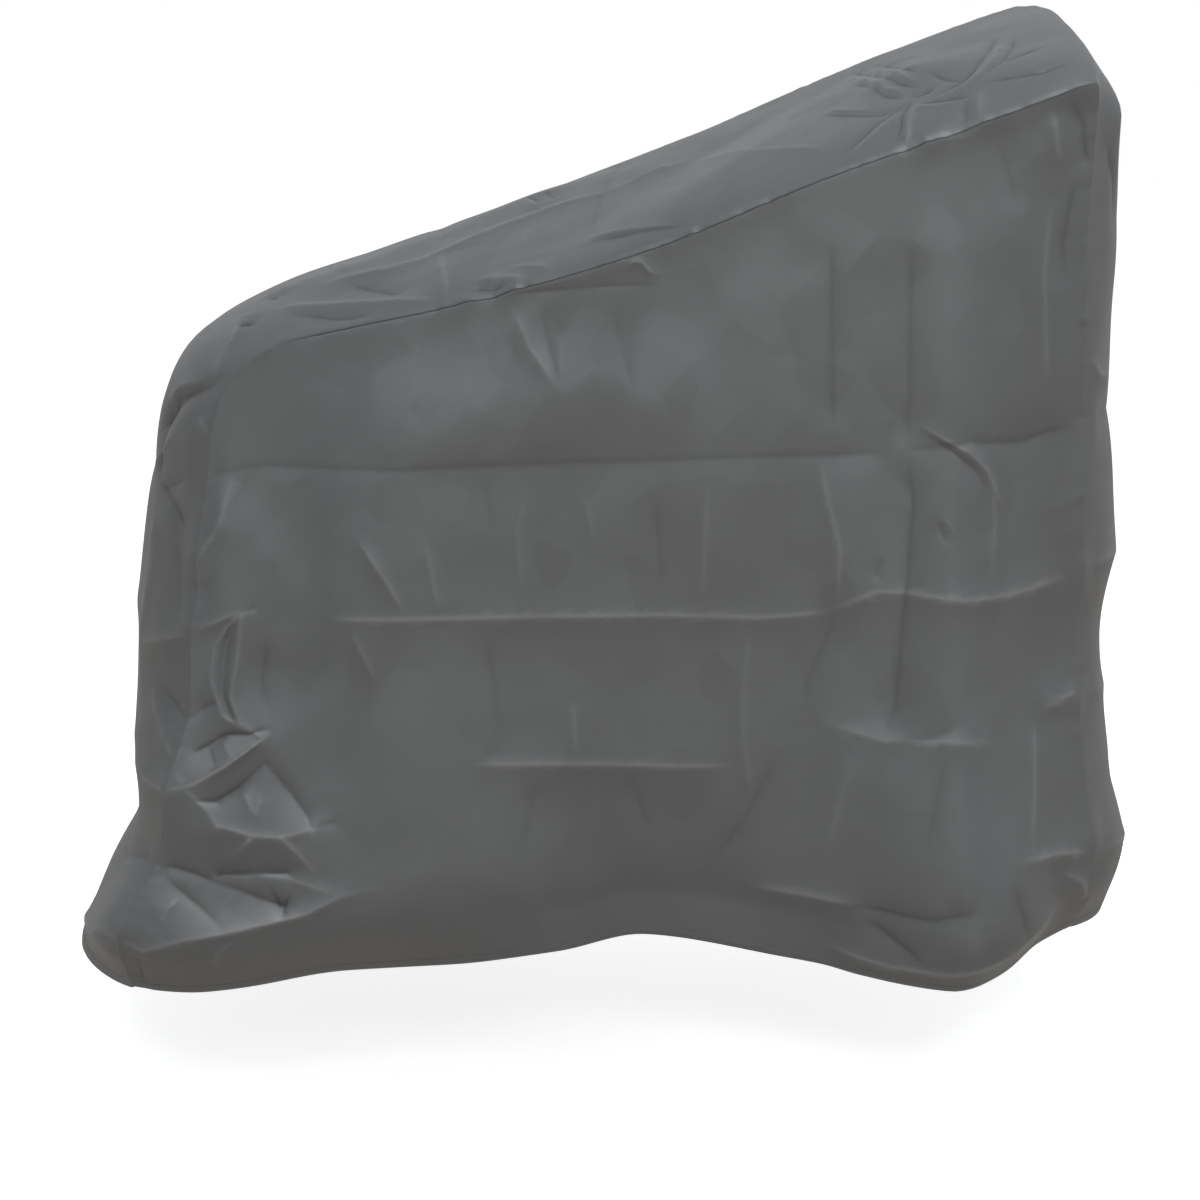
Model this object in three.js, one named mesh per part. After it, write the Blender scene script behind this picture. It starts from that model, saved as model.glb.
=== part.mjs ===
// A fitted dust cover for an exercise bike: a wedge of coated cloth, low at the rear and tall at the front.
// Two side panels and one long gusset are sewn together; the bottom is open. Millimetres, +X to the front,
// +Z up. The origin lies under the cloth of the sloping top, where the cover is held up.
import * as THREE from 'three';

// Driving sizes: the cloth's thickness, the gap that stands for a seam, and where the cover is held up,
// measured as the tables below are, from the middle of the length and from the hem's level
const CLOTH = 2;
const SEAM_GAP = 0.6;
const BEARING = { x: 330, z: 985 };
const GREY = { color: 0x5b5f62, roughness: 0.55, metalness: 0 };

// Cells of each sheet: along a side panel, up a side panel, and across the gusset. Rows crowd to the hem.
const CELLS = { along: 40, up: 30, across: 12 };
const HEM_CROWDING = 1.15;

// The gusset's sections, from the rear hem over the top to the front hem. Heights are above the hem.
// x, z: the right seam; right, left: the seams' distances from the middle plane; rise, lead: how much higher
// and further forward the left seam lies; backOrFore, up: how far the strip's middle bulges off the seams.
const SECTIONS = [
  { x: -540, z: 0, right: 318, left: 292, rise: 6, lead: 6, backOrFore: -108, up: -10 },
  { x: -538, z: 80, right: 346, left: 306, rise: -4, lead: 6, backOrFore: -72, up: 0 },
  { x: -500, z: 180, right: 332, left: 294, rise: 0, lead: 0, backOrFore: -58, up: 0 },
  { x: -470, z: 305, right: 310, left: 280, rise: 0, lead: 0, backOrFore: -90, up: 0 },
  { x: -452, z: 440, right: 290, left: 266, rise: 0, lead: 0, backOrFore: -103, up: 0 },
  { x: -441, z: 578, right: 268, left: 252, rise: 0, lead: 0, backOrFore: -95, up: 2 },
  { x: -429, z: 662, right: 256, left: 243, rise: -4, lead: -2, backOrFore: -89, up: 6 },
  { x: -401, z: 720, right: 250, left: 238, rise: -6, lead: -4, backOrFore: -78, up: 14, corner: 'rear' },
  { x: -351, z: 753, right: 248, left: 236, rise: 2, lead: -2, backOrFore: -44, up: 23 },
  { x: -284, z: 771, right: 250, left: 240, rise: 19, lead: 0, backOrFore: -12, up: 23 },
  { x: -123, z: 808, right: 258, left: 250, rise: 42, lead: 0, backOrFore: 0, up: 22 },
  { x: 72, z: 868, right: 265, left: 258, rise: 54, lead: 0, backOrFore: 0, up: 18 },
  { x: 260, z: 946, right: 268, left: 262, rise: 58, lead: 0, backOrFore: 0, up: 16 },
  { x: 423, z: 1004, right: 268, left: 264, rise: 64, lead: 0, backOrFore: 0, up: 14 },
  { x: 505, z: 1035, right: 266, left: 264, rise: 62, lead: 0, backOrFore: 4, up: 12 },
  { x: 532, z: 1044, right: 262, left: 260, rise: 57, lead: 0, backOrFore: 8, up: 10 },
  { x: 547, z: 1044, right: 256, left: 256, rise: 54, lead: -2, backOrFore: 4, up: 6, corner: 'front' },
  { x: 549, z: 1014, right: 250, left: 248, rise: 44, lead: 0, backOrFore: 20, up: 4 },
  { x: 546, z: 885, right: 240, left: 238, rise: 6, lead: 0, backOrFore: 54, up: 0 },
  { x: 553, z: 692, right: 228, left: 226, rise: 0, lead: 0, backOrFore: 52, up: 0 },
  { x: 562, z: 503, right: 215, left: 215, rise: 0, lead: 0, backOrFore: 57, up: 0 },
  { x: 561, z: 377, right: 212, left: 214, rise: 0, lead: 0, backOrFore: 48, up: 0 },
  { x: 582, z: 211, right: 215, left: 218, rise: 0, lead: 0, backOrFore: 50, up: 0 },
  { x: 594, z: 112, right: 208, left: 212, rise: 0, lead: 0, backOrFore: 55, up: 0 },
  { x: 576, z: 35, right: 180, left: 186, rise: -2, lead: 2, backOrFore: 55, up: -10 },
];
// A higher power makes the bulge flatter in its middle and rounder at the seams
const BULGE_FULLNESS = 3;

// The shoulder of the top, where the strip rolls over the right seam: its height, how soon it is reached as a
// share of the strip's width, where along the top it grows, and how far it runs past the front corner
const SHOULDER = { height: 26, reach: 0.05, startX: -330, endX: 120, past: 70 };

// The hems, from the rear seam to the front seam: y is the distance from the middle plane, z the height,
// and flare how far the cloth stands out just above the hem before it tucks under.
const RIGHT_HEM = [
  { x: -450, y: 316, z: -6, flare: 4 },
  { x: -285, y: 285, z: 9, flare: 4 },
  { x: -40, y: 262, z: 24, flare: -16 },
  { x: 60, y: 258, z: 42, flare: -22 },
  { x: 235, y: 268, z: 26, flare: -18 },
  { x: 420, y: 305, z: 9, flare: 8 },
  { x: 475, y: 278, z: 17, flare: 12 },
  { x: 525, y: 225, z: 34, flare: 4 },
];
const LEFT_HEM = [
  { x: -450, y: 286, z: 0, flare: 6 },
  { x: -210, y: 270, z: 24, flare: 0 },
  { x: 60, y: 256, z: 34, flare: -16 },
  { x: 270, y: 268, z: 18, flare: -8 },
  { x: 430, y: 282, z: 8, flare: 6 },
  { x: 522, y: 228, z: 30, flare: 2 },
];
// The flare is widest at this height above the hem, and dies out over this reach above that
const TUCK = { height: 62, fade: 130 };

// The main folds. Each row is a soft ridge (out above zero) or trough along a line from one point to another,
// with its half width and how far it stands out at each end. The sides' rows are seen from the side.
const RIGHT_FOLDS = [
  { x0: -368, z0: 650, x1: -378, z1: 390, width: 46, out0: -14, out1: -26 },
  { x0: -462, z0: 520, x1: -448, z1: 330, width: 48, out0: 10, out1: 16 },
  { x0: -457, z0: 255, x1: -387, z1: 302, width: 30, out0: -14, out1: -18 },
  { x0: -519, z0: 171, x1: -384, z1: 117, width: 34, out0: 10, out1: 12 },
  { x0: -430, z0: 205, x1: -398, z1: 244, width: 28, out0: 10, out1: 14 },
  { x0: -372, z0: 284, x1: -326, z1: 180, width: 32, out0: 10, out1: 16 },
  { x0: -250, z0: 600, x1: -210, z1: 120, width: 90, out0: 12, out1: 12 },
  { x0: -92, z0: 790, x1: -38, z1: 714, width: 34, out0: 8, out1: 6 },
  { x0: 60, z0: 330, x1: 55, z1: 40, width: 120, out0: -8, out1: -18 },
  { x0: 351, z0: 848, x1: 344, z1: 332, width: 40, out0: -5, out1: -12 },
  { x0: 450, z0: 860, x1: 432, z1: 60, width: 70, out0: 8, out1: 18 },
  { x0: 508, z0: 165, x1: 572, z1: 180, width: 34, out0: 10, out1: 8 },
  { x0: -60, z0: 610, x1: 240, z1: 640, width: 190, out0: 9, out1: 9 },
];
const LEFT_FOLDS = [
  { x0: -330, z0: 620, x1: -300, z1: 260, width: 56, out0: -14, out1: -22 },
  { x0: -440, z0: 250, x1: -360, z1: 160, width: 38, out0: 14, out1: 10 },
  { x0: -120, z0: 560, x1: -100, z1: 80, width: 90, out0: 10, out1: 14 },
  { x0: 110, z0: 420, x1: 90, z1: 40, width: 100, out0: -8, out1: -16 },
  { x0: 300, z0: 700, x1: 320, z1: 330, width: 44, out0: -8, out1: -10 },
  { x0: 440, z0: 840, x1: 425, z1: 70, width: 72, out0: 8, out1: 18 },
  { x0: -40, z0: 600, x1: 260, z1: 620, width: 190, out0: 9, out1: 9 },
];

// Folds fade towards a seam over a share of the panel, and the gusset's folds over a reach from its corners
const SEAM_FADE = { side: 0.24, gusset: 0.12 };
const CORNER_REACH = { rear: 120, front: 50 };

// The gusset's folds: on the top they are seen from above, on the rear and the front from behind
const TOP_FOLDS = [
  { x0: -40, y0: -150, x1: 240, y1: 120, width: 70, out0: -10, out1: -12 },
  { x0: -330, y0: -60, x1: -80, y1: 90, width: 50, out0: 6, out1: 8 },
  { x0: 357, y0: -40, x1: 500, y1: -210, width: 44, out0: 10, out1: 6 },
  { x0: 320, y0: 180, x1: 357, y1: -30, width: 50, out0: 6, out1: 10 },
];
const REAR_FOLDS = [
  { y0: 30, z0: 420, y1: 20, z1: 0, width: 60, out0: -4, out1: -20 },
  { y0: 160, z0: 380, y1: 185, z1: 10, width: 52, out0: 6, out1: 14 },
];
const FRONT_FOLDS = [
  { y0: 20, z0: 520, y1: 30, z1: 10, width: 56, out0: -6, out1: -16 },
  { y0: 120, z0: 900, y1: 105, z1: 300, width: 46, out0: 4, out1: 8 },
  { y0: -195, z0: 1040, y1: -185, z1: 880, width: 60, out0: 26, out1: 4 },
];

// A seam's inner edge is drawn in no further than a cloth thickness over this
const SHARPEST_MITRE = 0.5;

const vector = (x, y, z) => new THREE.Vector3(x, y, z);
const mix = THREE.MathUtils.lerp;
const ease = THREE.MathUtils.smoothstep;

// How far up a side panel each row of its points lies, closer together near the hem
const upward = (row) => (row / CELLS.up) ** HEM_CROWDING;

// A smooth curve through one column of a table whose rows carry a running length
function columnAt(rows, column, length) {
  const last = rows.length - 1;
  const found = rows.findIndex((row) => row.length >= length);
  const right = Math.max(1, found < 0 ? last : found);
  const left = right - 1;
  const slope = (i) => {
    const before = rows[Math.max(0, i - 1)];
    const after = rows[Math.min(last, i + 1)];
    return (after[column] - before[column]) / (after.length - before.length);
  };
  const span = rows[right].length - rows[left].length;
  const t = (length - rows[left].length) / span;
  const [t2, t3] = [t * t, t * t * t];
  return (2 * t3 - 3 * t2 + 1) * rows[left][column] + (t3 - 2 * t2 + t) * span * slope(left)
    + (3 * t2 - 2 * t3) * rows[right][column] + (t3 - t2) * span * slope(right);
}

// Rows with the running length of the line through them
function measured(rows, place) {
  let length = 0;
  return rows.map((row, i) => {
    if (i > 0) length += place(row).distanceTo(place(rows[i - 1]));
    return { ...row, length };
  });
}

const sections = measured(SECTIONS, (row) => vector(row.x, -row.right, row.z));
const lengthAt = (corner) => sections.find((row) => row.corner === corner).length;
const SEAM = { rear: lengthAt('rear'), front: lengthAt('front'), end: sections.at(-1).length };

// A point of the right seam (side -1) or the left seam (side 1)
function seamPoint(side, length) {
  const value = (column) => columnAt(sections, column, length);
  if (side < 0) return vector(value('x'), -value('right'), value('z'));
  return vector(value('x') + value('lead'), value('left'), value('z') + value('rise'));
}

// How far the folds move the cloth at a point, each fading over its width and past its ends
function foldsAt(folds, first, second, point) {
  const here = new THREE.Vector2(point[first], point[second]);
  return folds.reduce((sum, fold) => {
    const start = new THREE.Vector2(fold[`${first}0`], fold[`${second}0`]);
    const line = new THREE.Vector2(fold[`${first}1`], fold[`${second}1`]).sub(start);
    const t = THREE.MathUtils.clamp(here.clone().sub(start).dot(line) / line.lengthSq(), 0, 1);
    const away = here.distanceTo(start.addScaledVector(line, t)) / fold.width;
    return sum + mix(fold.out0, fold.out1, t) * Math.exp(-away * away);
  }, 0);
}

// One side panel: a patch between its two upright seams, its top seam and its hem, moved out by its folds
function sideGrid(side, hemRows, folds) {
  const rearFoot = seamPoint(side, 0);
  const frontFoot = seamPoint(side, SEAM.end);
  const asRow = (foot) => ({ x: foot.x, y: Math.abs(foot.y), z: foot.z, flare: 0 });
  const hem = measured([asRow(rearFoot), ...hemRows, asRow(frontFoot)], (row) => vector(row.x, row.y, row.z));
  const hemAt = (column, u) => columnAt(hem, column, u * hem.at(-1).length);
  const bottom = (u) => vector(hemAt('x', u), side * hemAt('y', u), hemAt('z', u));
  const top = (u) => seamPoint(side, mix(SEAM.rear, SEAM.front, u));
  const rear = (v) => seamPoint(side, SEAM.rear * v);
  const front = (v) => seamPoint(side, mix(SEAM.end, SEAM.front, v));
  const corner = (u, v) => bottom(u).lerp(top(u), v);

  return Array.from({ length: CELLS.along + 1 }, (_, i) => {
    const u = i / CELLS.along;
    return Array.from({ length: CELLS.up + 1 }, (__, j) => {
      const v = upward(j);
      const ends = corner(0, v).lerp(corner(1, v), u);
      const point = corner(u, v).add(rear(v).lerp(front(v), u)).sub(ends);
      const inside = [u, 1 - u, 1 - v].reduce((fade, edge) => fade * ease(edge, 0, SEAM_FADE.side), 1);
      const height = point.z - hemAt('z', u);
      const tuck = height < TUCK.height
        ? Math.sin((Math.PI / 2) * (height / TUCK.height))
        : Math.exp(-(((height - TUCK.height) / TUCK.fade) ** 2));
      const out = inside * foldsAt(folds, 'x', 'z', point) + hemAt('flare', u) * tuck;
      point.y += side * out;
      return point;
    });
  });
}

// Running lengths of the seam at which the gusset and the side panels share their points
const seamLengths = [
  ...Array.from({ length: CELLS.up }, (_, j) => SEAM.rear * upward(j)),
  ...Array.from({ length: CELLS.along }, (_, i) => mix(SEAM.rear, SEAM.front, i / CELLS.along)),
  ...Array.from({ length: CELLS.up + 1 }, (_, j) => mix(SEAM.end, SEAM.front, upward(CELLS.up - j))),
];

// The gusset: a strip from the right seam to the left, bulging off the line between them
function gussetGrid() {
  return seamLengths.map((length) => {
    const [from, to] = [seamPoint(-1, length), seamPoint(1, length)];
    const pastRear = ease(length - SEAM.rear, 0, CORNER_REACH.rear);
    const onTop = pastRear * ease(SEAM.front - length, 0, CORNER_REACH.front);
    const onRear = ease(SEAM.rear - length, 0, CORNER_REACH.rear);
    const onFront = ease(length - SEAM.front, 0, CORNER_REACH.front);
    const beforeNose = ease(SEAM.front + SHOULDER.past - length, 0, SHOULDER.past);
    const shoulder = ease(from.x, SHOULDER.startX, SHOULDER.endX) * beforeNose;
    const rolled = pastRear * shoulder * SHOULDER.height;
    return Array.from({ length: CELLS.across + 1 }, (_, k) => {
      const w = (1 - Math.cos((Math.PI * k) / CELLS.across)) / 2;
      const point = from.clone().lerp(to, w);
      const bulge = 1 - Math.abs(2 * w - 1) ** BULGE_FULLNESS;
      point.x += bulge * columnAt(sections, 'backOrFore', length);
      point.z += bulge * columnAt(sections, 'up', length);
      point.z += rolled * (1 - Math.exp(-w / SHOULDER.reach)) * (1 - w);
      const inside = ease(w, 0, SEAM_FADE.gusset) * ease(1 - w, 0, SEAM_FADE.gusset);
      const fore = onFront * foldsAt(FRONT_FOLDS, 'y', 'z', point);
      const back = onRear * foldsAt(REAR_FOLDS, 'y', 'z', point);
      point.z += onTop * inside * foldsAt(TOP_FOLDS, 'x', 'y', point);
      point.x += inside * (fore - back);
      return point;
    });
  });
}

// Outward normals of a grid of points; turn is -1 where the grid's own order faces in
function gridNormals(grid, turn) {
  const clamped = (list, i) => list[THREE.MathUtils.clamp(i, 0, list.length - 1)];
  return grid.map((row, i) => row.map((_, j) => {
    const along = clamped(grid, i + 1)[j].clone().sub(clamped(grid, i - 1)[j]);
    const up = clamped(row, j + 1).clone().sub(clamped(row, j - 1));
    return along.cross(up).normalize().multiplyScalar(turn);
  }));
}

// A sheet of cloth: the outer grid and a like inner one, joined round the edge into one closed body
function sheet(name, outer, inner, turn) {
  const [columns, rows] = [outer.length, outer[0].length];
  const positions = [outer, inner].flatMap((grid) => grid.flat().flatMap((point) => point.toArray()));
  const at = (layer, i, j) => layer * columns * rows + i * rows + j;
  const faces = [];
  const quad = (a, b, c, d) => (turn > 0 ? faces.push(a, b, c, a, c, d) : faces.push(a, c, b, a, d, c));
  for (let i = 0; i < columns - 1; i += 1) {
    for (let j = 0; j < rows - 1; j += 1) {
      quad(at(0, i, j), at(0, i + 1, j), at(0, i + 1, j + 1), at(0, i, j + 1));
      quad(at(1, i, j), at(1, i, j + 1), at(1, i + 1, j + 1), at(1, i + 1, j));
    }
    quad(at(0, i, 0), at(1, i, 0), at(1, i + 1, 0), at(0, i + 1, 0));
    quad(at(0, i, rows - 1), at(0, i + 1, rows - 1), at(1, i + 1, rows - 1), at(1, i, rows - 1));
  }
  for (let j = 0; j < rows - 1; j += 1) {
    quad(at(0, 0, j), at(0, 0, j + 1), at(1, 0, j + 1), at(1, 0, j));
    quad(at(1, columns - 1, j), at(1, columns - 1, j + 1), at(0, columns - 1, j + 1), at(0, columns - 1, j));
  }
  const geometry = new THREE.BufferGeometry();
  geometry.setAttribute('position', new THREE.Float32BufferAttribute(positions, 3));
  geometry.setIndex(faces);
  geometry.computeVertexNormals();
  const mesh = new THREE.Mesh(geometry, new THREE.MeshStandardMaterial(GREY));
  mesh.name = name;
  return mesh;
}

// A panel's points and normals, with an inner grid one cloth thickness in
function panel(name, grid, turn) {
  const normals = gridNormals(grid, turn);
  const under = (point, normal) => point.clone().addScaledVector(normal, -CLOTH);
  const inner = grid.map((row, i) => row.map((point, j) => under(point, normals[i][j])));
  return { name, grid, normals, inner, turn };
}

// Where the side panel's edge meets each shared seam point: column and row of its grid
function sideEdge(k) {
  const { along, up } = CELLS;
  if (k <= up) return [0, k];
  if (k <= up + along) return [k - up, up];
  return [along, 2 * up + along - k];
}

// Trims a side panel and the gusset to a shared mitre along their seam, a gap apart
function sewSeam(sidePanel, strip, column) {
  const path = strip.grid.map((row) => row[column].clone());
  const middle = [Math.floor(CELLS.along / 2), Math.floor(CELLS.up / 2)];
  path.forEach((point, k) => {
    const [i, j] = sideEdge(k);
    const [sideNormal, stripNormal] = [sidePanel.normals[i][j], strip.normals[k][column]];
    const mitre = sideNormal.clone().add(stripNormal).normalize();
    const depth = CLOTH / Math.max(SHARPEST_MITRE, mitre.dot(sideNormal));
    const tangent = path[Math.min(k + 1, path.length - 1)].clone().sub(path[Math.max(k - 1, 0)]);
    const apart = tangent.cross(mitre).normalize().multiplyScalar(SEAM_GAP / 2);
    const within = sidePanel.grid[i + Math.sign(middle[0] - i)][j + Math.sign(middle[1] - j)];
    if (apart.dot(within.clone().sub(point)) < 0) apart.negate();
    const under = point.clone().addScaledVector(mitre, -depth);
    sidePanel.grid[i][j].copy(point).add(apart);
    sidePanel.inner[i][j].copy(under).add(apart);
    strip.grid[k][column].copy(point).sub(apart);
    strip.inner[k][column].copy(under).sub(apart);
  });
}

const rightSide = panel('side_panel_right', sideGrid(-1, RIGHT_HEM, RIGHT_FOLDS), 1);
const leftSide = panel('side_panel_left', sideGrid(1, LEFT_HEM, LEFT_FOLDS), -1);
const gusset = panel('gusset', gussetGrid(), 1);
sewSeam(rightSide, gusset, 0);
sewSeam(leftSide, gusset, CELLS.across);

const cover = new THREE.Group();
cover.position.set(-BEARING.x, 0, -BEARING.z);
[rightSide, leftSide, gusset].forEach(({ name, grid, inner, turn }) => {
  cover.add(sheet(name, grid, inner, turn));
});

const part = new THREE.Group();
part.add(cover);

export default part;
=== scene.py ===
"""Looks of a fitted dust cover, in metres.

Two sides and one long gusset of grey coated cloth are laid out flat, draped in the shape in which the cover
hangs, creased, seamed and hemmed, and given a woven, satin finish.
"""

import math

import bmesh
import bpy
import numpy as np
from mathutils import Matrix, Vector


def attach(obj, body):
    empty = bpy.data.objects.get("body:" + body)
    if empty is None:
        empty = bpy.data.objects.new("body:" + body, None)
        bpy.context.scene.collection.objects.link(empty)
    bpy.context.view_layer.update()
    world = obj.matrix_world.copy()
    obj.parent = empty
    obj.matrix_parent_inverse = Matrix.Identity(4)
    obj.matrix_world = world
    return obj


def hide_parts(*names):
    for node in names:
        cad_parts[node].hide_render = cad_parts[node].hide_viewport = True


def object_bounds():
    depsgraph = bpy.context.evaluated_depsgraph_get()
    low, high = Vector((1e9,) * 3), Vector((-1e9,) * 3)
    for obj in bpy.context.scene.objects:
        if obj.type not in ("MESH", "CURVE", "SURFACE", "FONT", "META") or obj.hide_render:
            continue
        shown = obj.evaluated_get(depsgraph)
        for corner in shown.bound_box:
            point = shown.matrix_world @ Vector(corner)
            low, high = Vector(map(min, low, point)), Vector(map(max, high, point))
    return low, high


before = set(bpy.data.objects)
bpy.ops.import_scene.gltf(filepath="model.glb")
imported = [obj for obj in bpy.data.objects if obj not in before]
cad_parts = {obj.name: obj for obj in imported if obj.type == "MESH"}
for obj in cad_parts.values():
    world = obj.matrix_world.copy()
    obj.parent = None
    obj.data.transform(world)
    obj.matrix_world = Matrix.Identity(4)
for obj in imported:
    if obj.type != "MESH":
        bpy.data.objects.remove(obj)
cad_low, cad_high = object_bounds()

RIGHT, LEFT = -1, 1


def table(names, *rows):
    """A short table, as named columns."""
    return dict(zip(names.split(), np.array(rows, float).T))


# The cloth's thickness
CLOTH = 0.0011

# The seams, which differ between their ends, at the rear and the front, and the top: the gap between the
# panels, how far the seam line sinks, how round its edges are, and the turned allowance
SEAM_GAP = {"ends": 0.00006, "top": 0.0008}
SEAM_SINK = {"ends": 0.0002, "top": 0.0020}
SEAM_ROUND = 0.0045
SEAM_ALLOWANCE = 0.010
# The painted shade along the top seam's line, and the lengths past each corner over which it comes to show
SEAM_SHADE = {"depth": 0.8, "width": 0.0020}
SEAM_SEEN = {"rear": (0.030, 0.120), "front": (0.0, 0.050)}
# How near to a seam creases and facets flatten out
SEAM_CLEAR = {"creases": 0.012, "facets": 0.030}

# The hem: its rows of cells and their height, how far inside its turned cloth lies, and its line of
# stitches, which stops short of the seams by a share of the hem's length
HEM_ROWS = 4
HEM_STEP = 0.0042
HEM_FOLD = 0.0025
HEM_LINE = {"samples": 1200, "side_ends": 0.006, "gusset_ends": 0.012}
STITCH = {"pitch": 0.0046, "length": 0.0034, "thick": 0.0009, "above_hem": 0.0135}
# The columns of cells in a seam's turned allowance
TURN_COLUMNS = 2

# The thread draws the seams in: how far, in waves and patches of these lengths and phases, and how far into
# the cloth it is felt
PUCKER = {
    "depth": 0.0015,
    "waves": (0.017, 0.026, 0.041),
    "patches": (0.137, 0.31),
    "phases": (2, 1),
    "reach": 0.020,
}

# Where folds run over the seams: places along each seam from the rear hem, and how far it stands out there
KINKS = {
    RIGHT: table(
        "length out",
        (0, 0), (0.083, 0.010), (0.172, -0.010), (0.263, 0.010), (0.292, 0.005), (0.349, -0.006),
        (0.400, -0.001), (0.453, 0.006), (0.500, -0.001), (0.532, 0.005), (0.575, 0), (0.628, -0.004),
        (0.690, 0), (1.000, 0), (1.030, 0.003), (1.058, -0.003), (1.085, 0.002), (1.120, 0),
        (1.525, 0), (1.545, -0.002), (1.562, 0.002), (1.600, -0.002), (1.630, 0.002), (1.660, 0),
        (2.080, 0), (2.137, -0.004), (2.190, 0), (2.270, 0), (2.318, 0.004), (2.370, 0),
        (2.440, 0), (2.475, 0.003), (2.510, 0), (2.590, 0), (2.645, 0.006), (2.692, -0.003),
        (2.735, 0.003), (2.780, 0)),
    LEFT: table(
        "length out",
        (0, 0), (0.080, 0.008), (0.160, -0.008), (0.244, 0.008), (0.290, 0),
        (0.420, 0), (0.456, 0.004), (0.490, 0), (0.580, 0), (0.635, -0.003), (0.690, 0),
        (2.080, 0), (2.140, -0.004), (2.190, 0), (2.280, 0), (2.322, 0.004), (2.370, 0),
        (2.600, 0), (2.650, 0.005), (2.700, 0)),
}

# Where the cover is held up, measured from the middle of its length and from its hem's level
HELD_AT = np.array([0.330, 0.0, 0.985])


def measured(rows, *axes):
    """The table with the running length of the line through its rows."""
    steps = np.sqrt(sum(np.diff(rows[axis]) ** 2 for axis in axes))
    return {**rows, "length": np.concatenate([[0], np.cumsum(steps)])}


# The gusset's sections, from the rear hem over the top to the front hem. x, z: the right seam; right, left:
# the seams' distances from the middle plane; rise, lead: how much higher and further forward the left seam
# lies; fore, up: how far the strip's middle bulges off the seams.
SECTIONS = measured(table(
    "x z right left rise lead fore up",
    (-0.540, 0.000, 0.318, 0.292, 0.006, 0.006, -0.108, -0.010),
    (-0.538, 0.080, 0.346, 0.306, -0.004, 0.006, -0.072, 0.000),
    (-0.500, 0.180, 0.332, 0.294, 0.000, 0.000, -0.058, 0.000),
    (-0.470, 0.305, 0.310, 0.280, 0.000, 0.000, -0.090, 0.000),
    (-0.452, 0.440, 0.290, 0.266, 0.000, 0.000, -0.103, 0.000),
    (-0.441, 0.578, 0.268, 0.252, 0.000, 0.000, -0.095, 0.002),
    (-0.429, 0.662, 0.256, 0.243, -0.004, -0.002, -0.089, 0.006),
    (-0.401, 0.720, 0.250, 0.238, -0.006, -0.004, -0.078, 0.014),
    (-0.351, 0.753, 0.248, 0.236, 0.002, -0.002, -0.044, 0.023),
    (-0.284, 0.771, 0.250, 0.240, 0.019, 0.000, -0.012, 0.023),
    (-0.123, 0.808, 0.258, 0.250, 0.042, 0.000, 0.000, 0.022),
    (0.072, 0.868, 0.265, 0.258, 0.054, 0.000, 0.000, 0.018),
    (0.260, 0.946, 0.268, 0.262, 0.058, 0.000, 0.000, 0.016),
    (0.423, 1.004, 0.268, 0.264, 0.064, 0.000, 0.000, 0.014),
    (0.505, 1.035, 0.266, 0.264, 0.062, 0.000, 0.004, 0.012),
    (0.532, 1.044, 0.262, 0.260, 0.057, 0.000, 0.008, 0.010),
    (0.547, 1.044, 0.256, 0.256, 0.054, -0.002, 0.004, 0.006),
    (0.549, 1.014, 0.250, 0.248, 0.044, 0.000, 0.020, 0.004),
    (0.546, 0.885, 0.240, 0.238, 0.006, 0.000, 0.054, 0.000),
    (0.553, 0.692, 0.228, 0.226, 0.000, 0.000, 0.052, 0.000),
    (0.562, 0.503, 0.215, 0.215, 0.000, 0.000, 0.057, 0.000),
    (0.561, 0.377, 0.212, 0.214, 0.000, 0.000, 0.048, 0.000),
    (0.582, 0.211, 0.215, 0.218, 0.000, 0.000, 0.050, 0.000),
    (0.594, 0.112, 0.208, 0.212, 0.000, 0.000, 0.055, 0.000),
    (0.576, 0.035, 0.180, 0.186, -0.002, 0.002, 0.055, -0.010),
), "x", "right", "z")
REAR_CORNER, FRONT_CORNER = SECTIONS["length"][7], SECTIONS["length"][16]
SEAM_END = SECTIONS["length"][-1]
# How square the strip's bulge is, the roll of the cloth over the right seam, and the lengths over which the
# top runs into the rear and the front: for the main folds, and for the creases
BULGE_FULLNESS = 3
SHOULDER = {"height": 0.025, "reach": 0.17, "start_x": -0.330, "end_x": 0.120, "past": 0.070}
CORNER_REACH = {"rear": 0.120, "front": 0.050}
CORNER_BLEND = 0.050

# The hems between the seams: y is the distance from the middle plane, z the height, and flare how far the
# cloth stands out just above the hem before it tucks under
RIGHT_HEM = table(
    "x y z flare",
    (-0.450, 0.316, -0.006, 0.004),
    (-0.285, 0.285, 0.009, 0.004),
    (-0.040, 0.262, 0.024, -0.016),
    (0.060, 0.258, 0.042, -0.022),
    (0.235, 0.268, 0.026, -0.018),
    (0.420, 0.305, 0.009, 0.008),
    (0.475, 0.278, 0.017, 0.012),
    (0.525, 0.225, 0.034, 0.004),
)
LEFT_HEM = table(
    "x y z flare",
    (-0.450, 0.286, 0.000, 0.006),
    (-0.210, 0.270, 0.024, 0.000),
    (0.060, 0.256, 0.034, -0.016),
    (0.270, 0.268, 0.018, -0.008),
    (0.430, 0.282, 0.008, 0.006),
    (0.522, 0.228, 0.030, 0.002),
)
# The height of the flare's fold above the hem, and the height over which it fades above that
TUCK = {"height": 0.062, "fade": 0.190}

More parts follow.
